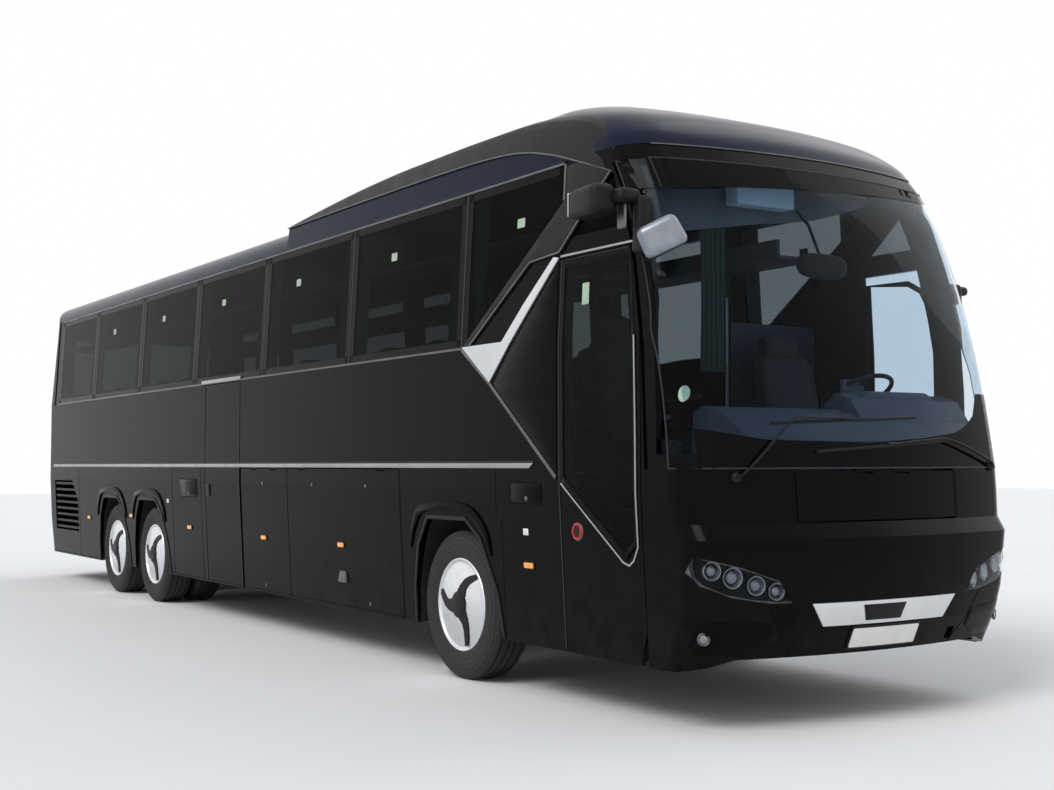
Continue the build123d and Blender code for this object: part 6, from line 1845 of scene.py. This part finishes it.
# ---------------------------------------------------------------- rear
@dataclass
class Rear:
    """Tail lamps, reflectors, louvres, blank plate, high brake lamp and seam."""

    def build(self) -> None:
        """Builds the rear's pieces."""
        for side, word in SIDE_WORDS.items():
            housing = on_half(side, rounded(0.955, 1.105, 0.995, 1.655, 0.03))
            plate(f"tail_lamp_base_{word}", [housing], on_tail, SATIN_BLACK, 0.003, 0.0, TAIL_LAMP_PITCH,
                  0.001, levels=())
            for i, (z0, z1, finish) in enumerate(((1.02, 1.20, RED_LENS), (1.23, 1.41, RED_LENS),
                                                  (1.44, 1.63, AMBER))):
                lens = on_half(side, rounded(0.972, 1.088, z0, z1, 0.05))
                plate(f"tail_lens_{word}_{i}", [lens], on_tail, finish, 0.008, 0.003, TAIL_LAMP_PITCH, 0.003,
                      levels=())
            reflector = on_half(side, rounded(0.86, 1.02, 0.47, 0.53, 0.01))
            plate(f"rear_reflector_{word}", [reflector], on_tail, RED_LENS, 0.004, 0.0, TAIL_LAMP_PITCH,
                  0.001, levels=())
        louvres = [strip([(-0.62, z), (0.62, z)], 0.028) for z in (0.90, 0.96, 1.02, 1.08, 1.14, 1.20)]
        plate("rear_louvres", louvres, on_tail, SATIN_BLACK, 0.001, 0.0, TAIL_PITCH, 0.0, "engine_hatch",
              levels=())
        plate("rear_number_plate", [rounded(-0.26, 0.26, 1.34, 1.45, 0.01)], on_tail, WHITE_PLASTIC, 0.003,
              0.0, TAIL_PITCH, 0.001, "engine_hatch", levels=())
        plate("high_brake_lamp", [rounded(-0.20, 0.20, 3.235, 3.270, 0.01)], on_tail, RED_LENS, 0.008, 0.0,
              TAIL_PITCH, 0.003, levels=())
        plate("rear_seams", [strip([(-1.0, 0.765), (1.0, 0.765)], 0.007)], on_tail, SHUT_LINE, 0.0006,
              -0.0002, TAIL_PITCH, 0.0, levels=())


# ---------------------------------------------------------------- camera, light and floor
SENSOR_WIDTH = 36.0            # millimetres, as the lens


@dataclass
class Studio:
    """Camera, soft light, white backdrop and pale floor.

    eye is in metres, heading, pitch and roll in radians, and lens in millimetres.
    """

    eye: tuple[float, float, float] = (12.6695, -6.1181, 1.4742)
    heading: float = 0.5679
    pitch: float = 0.0477
    roll: float = -0.0023
    lens: float = 48.71
    world_level: float = 0.62
    key_level: float = 1.25
    floor_half: float = 60.0

    def camera(self) -> None:
        """Makes the camera and sets it."""
        data = bpy.data.cameras.new("camera")
        data.lens = self.lens
        data.sensor_width = SENSOR_WIDTH
        data.clip_end = 500.0
        cam = bpy.data.objects.new("camera", data)
        bpy.context.scene.collection.objects.link(cam)
        ahead = Vector((-math.cos(self.heading), math.sin(self.heading), 0.0))
        up = Vector((0.0, 0.0, 1.0))
        look = ahead * math.cos(self.pitch) + up * math.sin(self.pitch)
        lift = up * math.cos(self.pitch) - ahead * math.sin(self.pitch)
        right = ahead.cross(up)
        side = right * math.cos(self.roll) + lift * math.sin(self.roll)
        lift = lift * math.cos(self.roll) - right * math.sin(self.roll)
        turn = Matrix((side, lift, -look)).transposed().to_4x4()
        cam.matrix_world = Matrix.Translation(self.eye) @ turn
        bpy.context.scene.camera = cam

    def light(self) -> None:
        """Makes the world and the two lamps."""
        world = bpy.data.worlds.new("studio")
        world.use_nodes = True
        bpy.context.scene.world = world
        t = Tree(world.node_tree)
        path = t.node("ShaderNodeLightPath")
        seen = t.math("MAXIMUM", path.outputs["Is Camera Ray"], path.outputs["Is Glossy Ray"])
        seen = t.math("MAXIMUM", seen, path.outputs["Is Transmission Ray"])
        lit = t.node("ShaderNodeBackground", {0: (0.93, 0.96, 1.0, 1), 1: self.world_level})
        plain = t.node("ShaderNodeBackground", {0: (1, 1, 1, 1), 1: 1.0})
        mixed = t.node("ShaderNodeMixShader", {0: seen, 1: lit.outputs[0], 2: plain.outputs[0]})
        t.tree.links.new(mixed.outputs[0], t.tree.nodes["World Output"].inputs[0])
        for name, energy, angle, turn in (("key", self.key_level, 0.5, (0.75, 0.25, 0.0)),
                                          ("fill", self.key_level * 0.3, 0.9, (-0.9, 0.3, 0.4))):
            data = bpy.data.lights.new(name, "SUN")
            data.energy = energy
            data.angle = angle
            lamp = bpy.data.objects.new(name, data)
            lamp.rotation_euler = turn
            bpy.context.scene.collection.objects.link(lamp)

    def floor(self) -> None:
        """Makes the pale floor that takes the shadow."""
        bm = bmesh.new()
        bmesh.ops.create_grid(bm, x_segments=1, y_segments=1, size=self.floor_half)
        mesh = bpy.data.meshes.new("floor")
        bm.to_mesh(mesh)
        bm.free()
        floor = bpy.data.objects.new("floor", mesh)
        bpy.context.scene.collection.objects.link(floor)
        finish = Finish("pale_floor", (0.93, 0.93, 0.93), (0.91, 0.91, 0.91), 0.4, 0.8, 0.05, specular=0.1,
                        effect=Effect.GRAIN, scale=30.0, relief=0.02)
        mesh.materials.append(finish.material())

    def build(self) -> None:
        """Sets up the whole studio."""
        self.camera()
        self.light()
        self.floor()
        bpy.context.scene.view_settings.view_transform = "Standard"


def main() -> None:
    """Builds the studio and every part of the coach."""
    Studio().build()
    dress_frame()
    build_wheels()
    for side in (LEFT, RIGHT):
        SideTrim(side).build()
    Screen().build()
    FrontEnd().build()
    Dome().build()
    for side in (LEFT, RIGHT):
        RoofBand(side).build()
    RoofUnit().build()
    Mirrors().build()
    EntryDoor().build()
    SidePanes().build()
    build_curtains()
    build_seats()
    Cab().build()
    Rear().build()


if __name__ == "__main__":
    main()
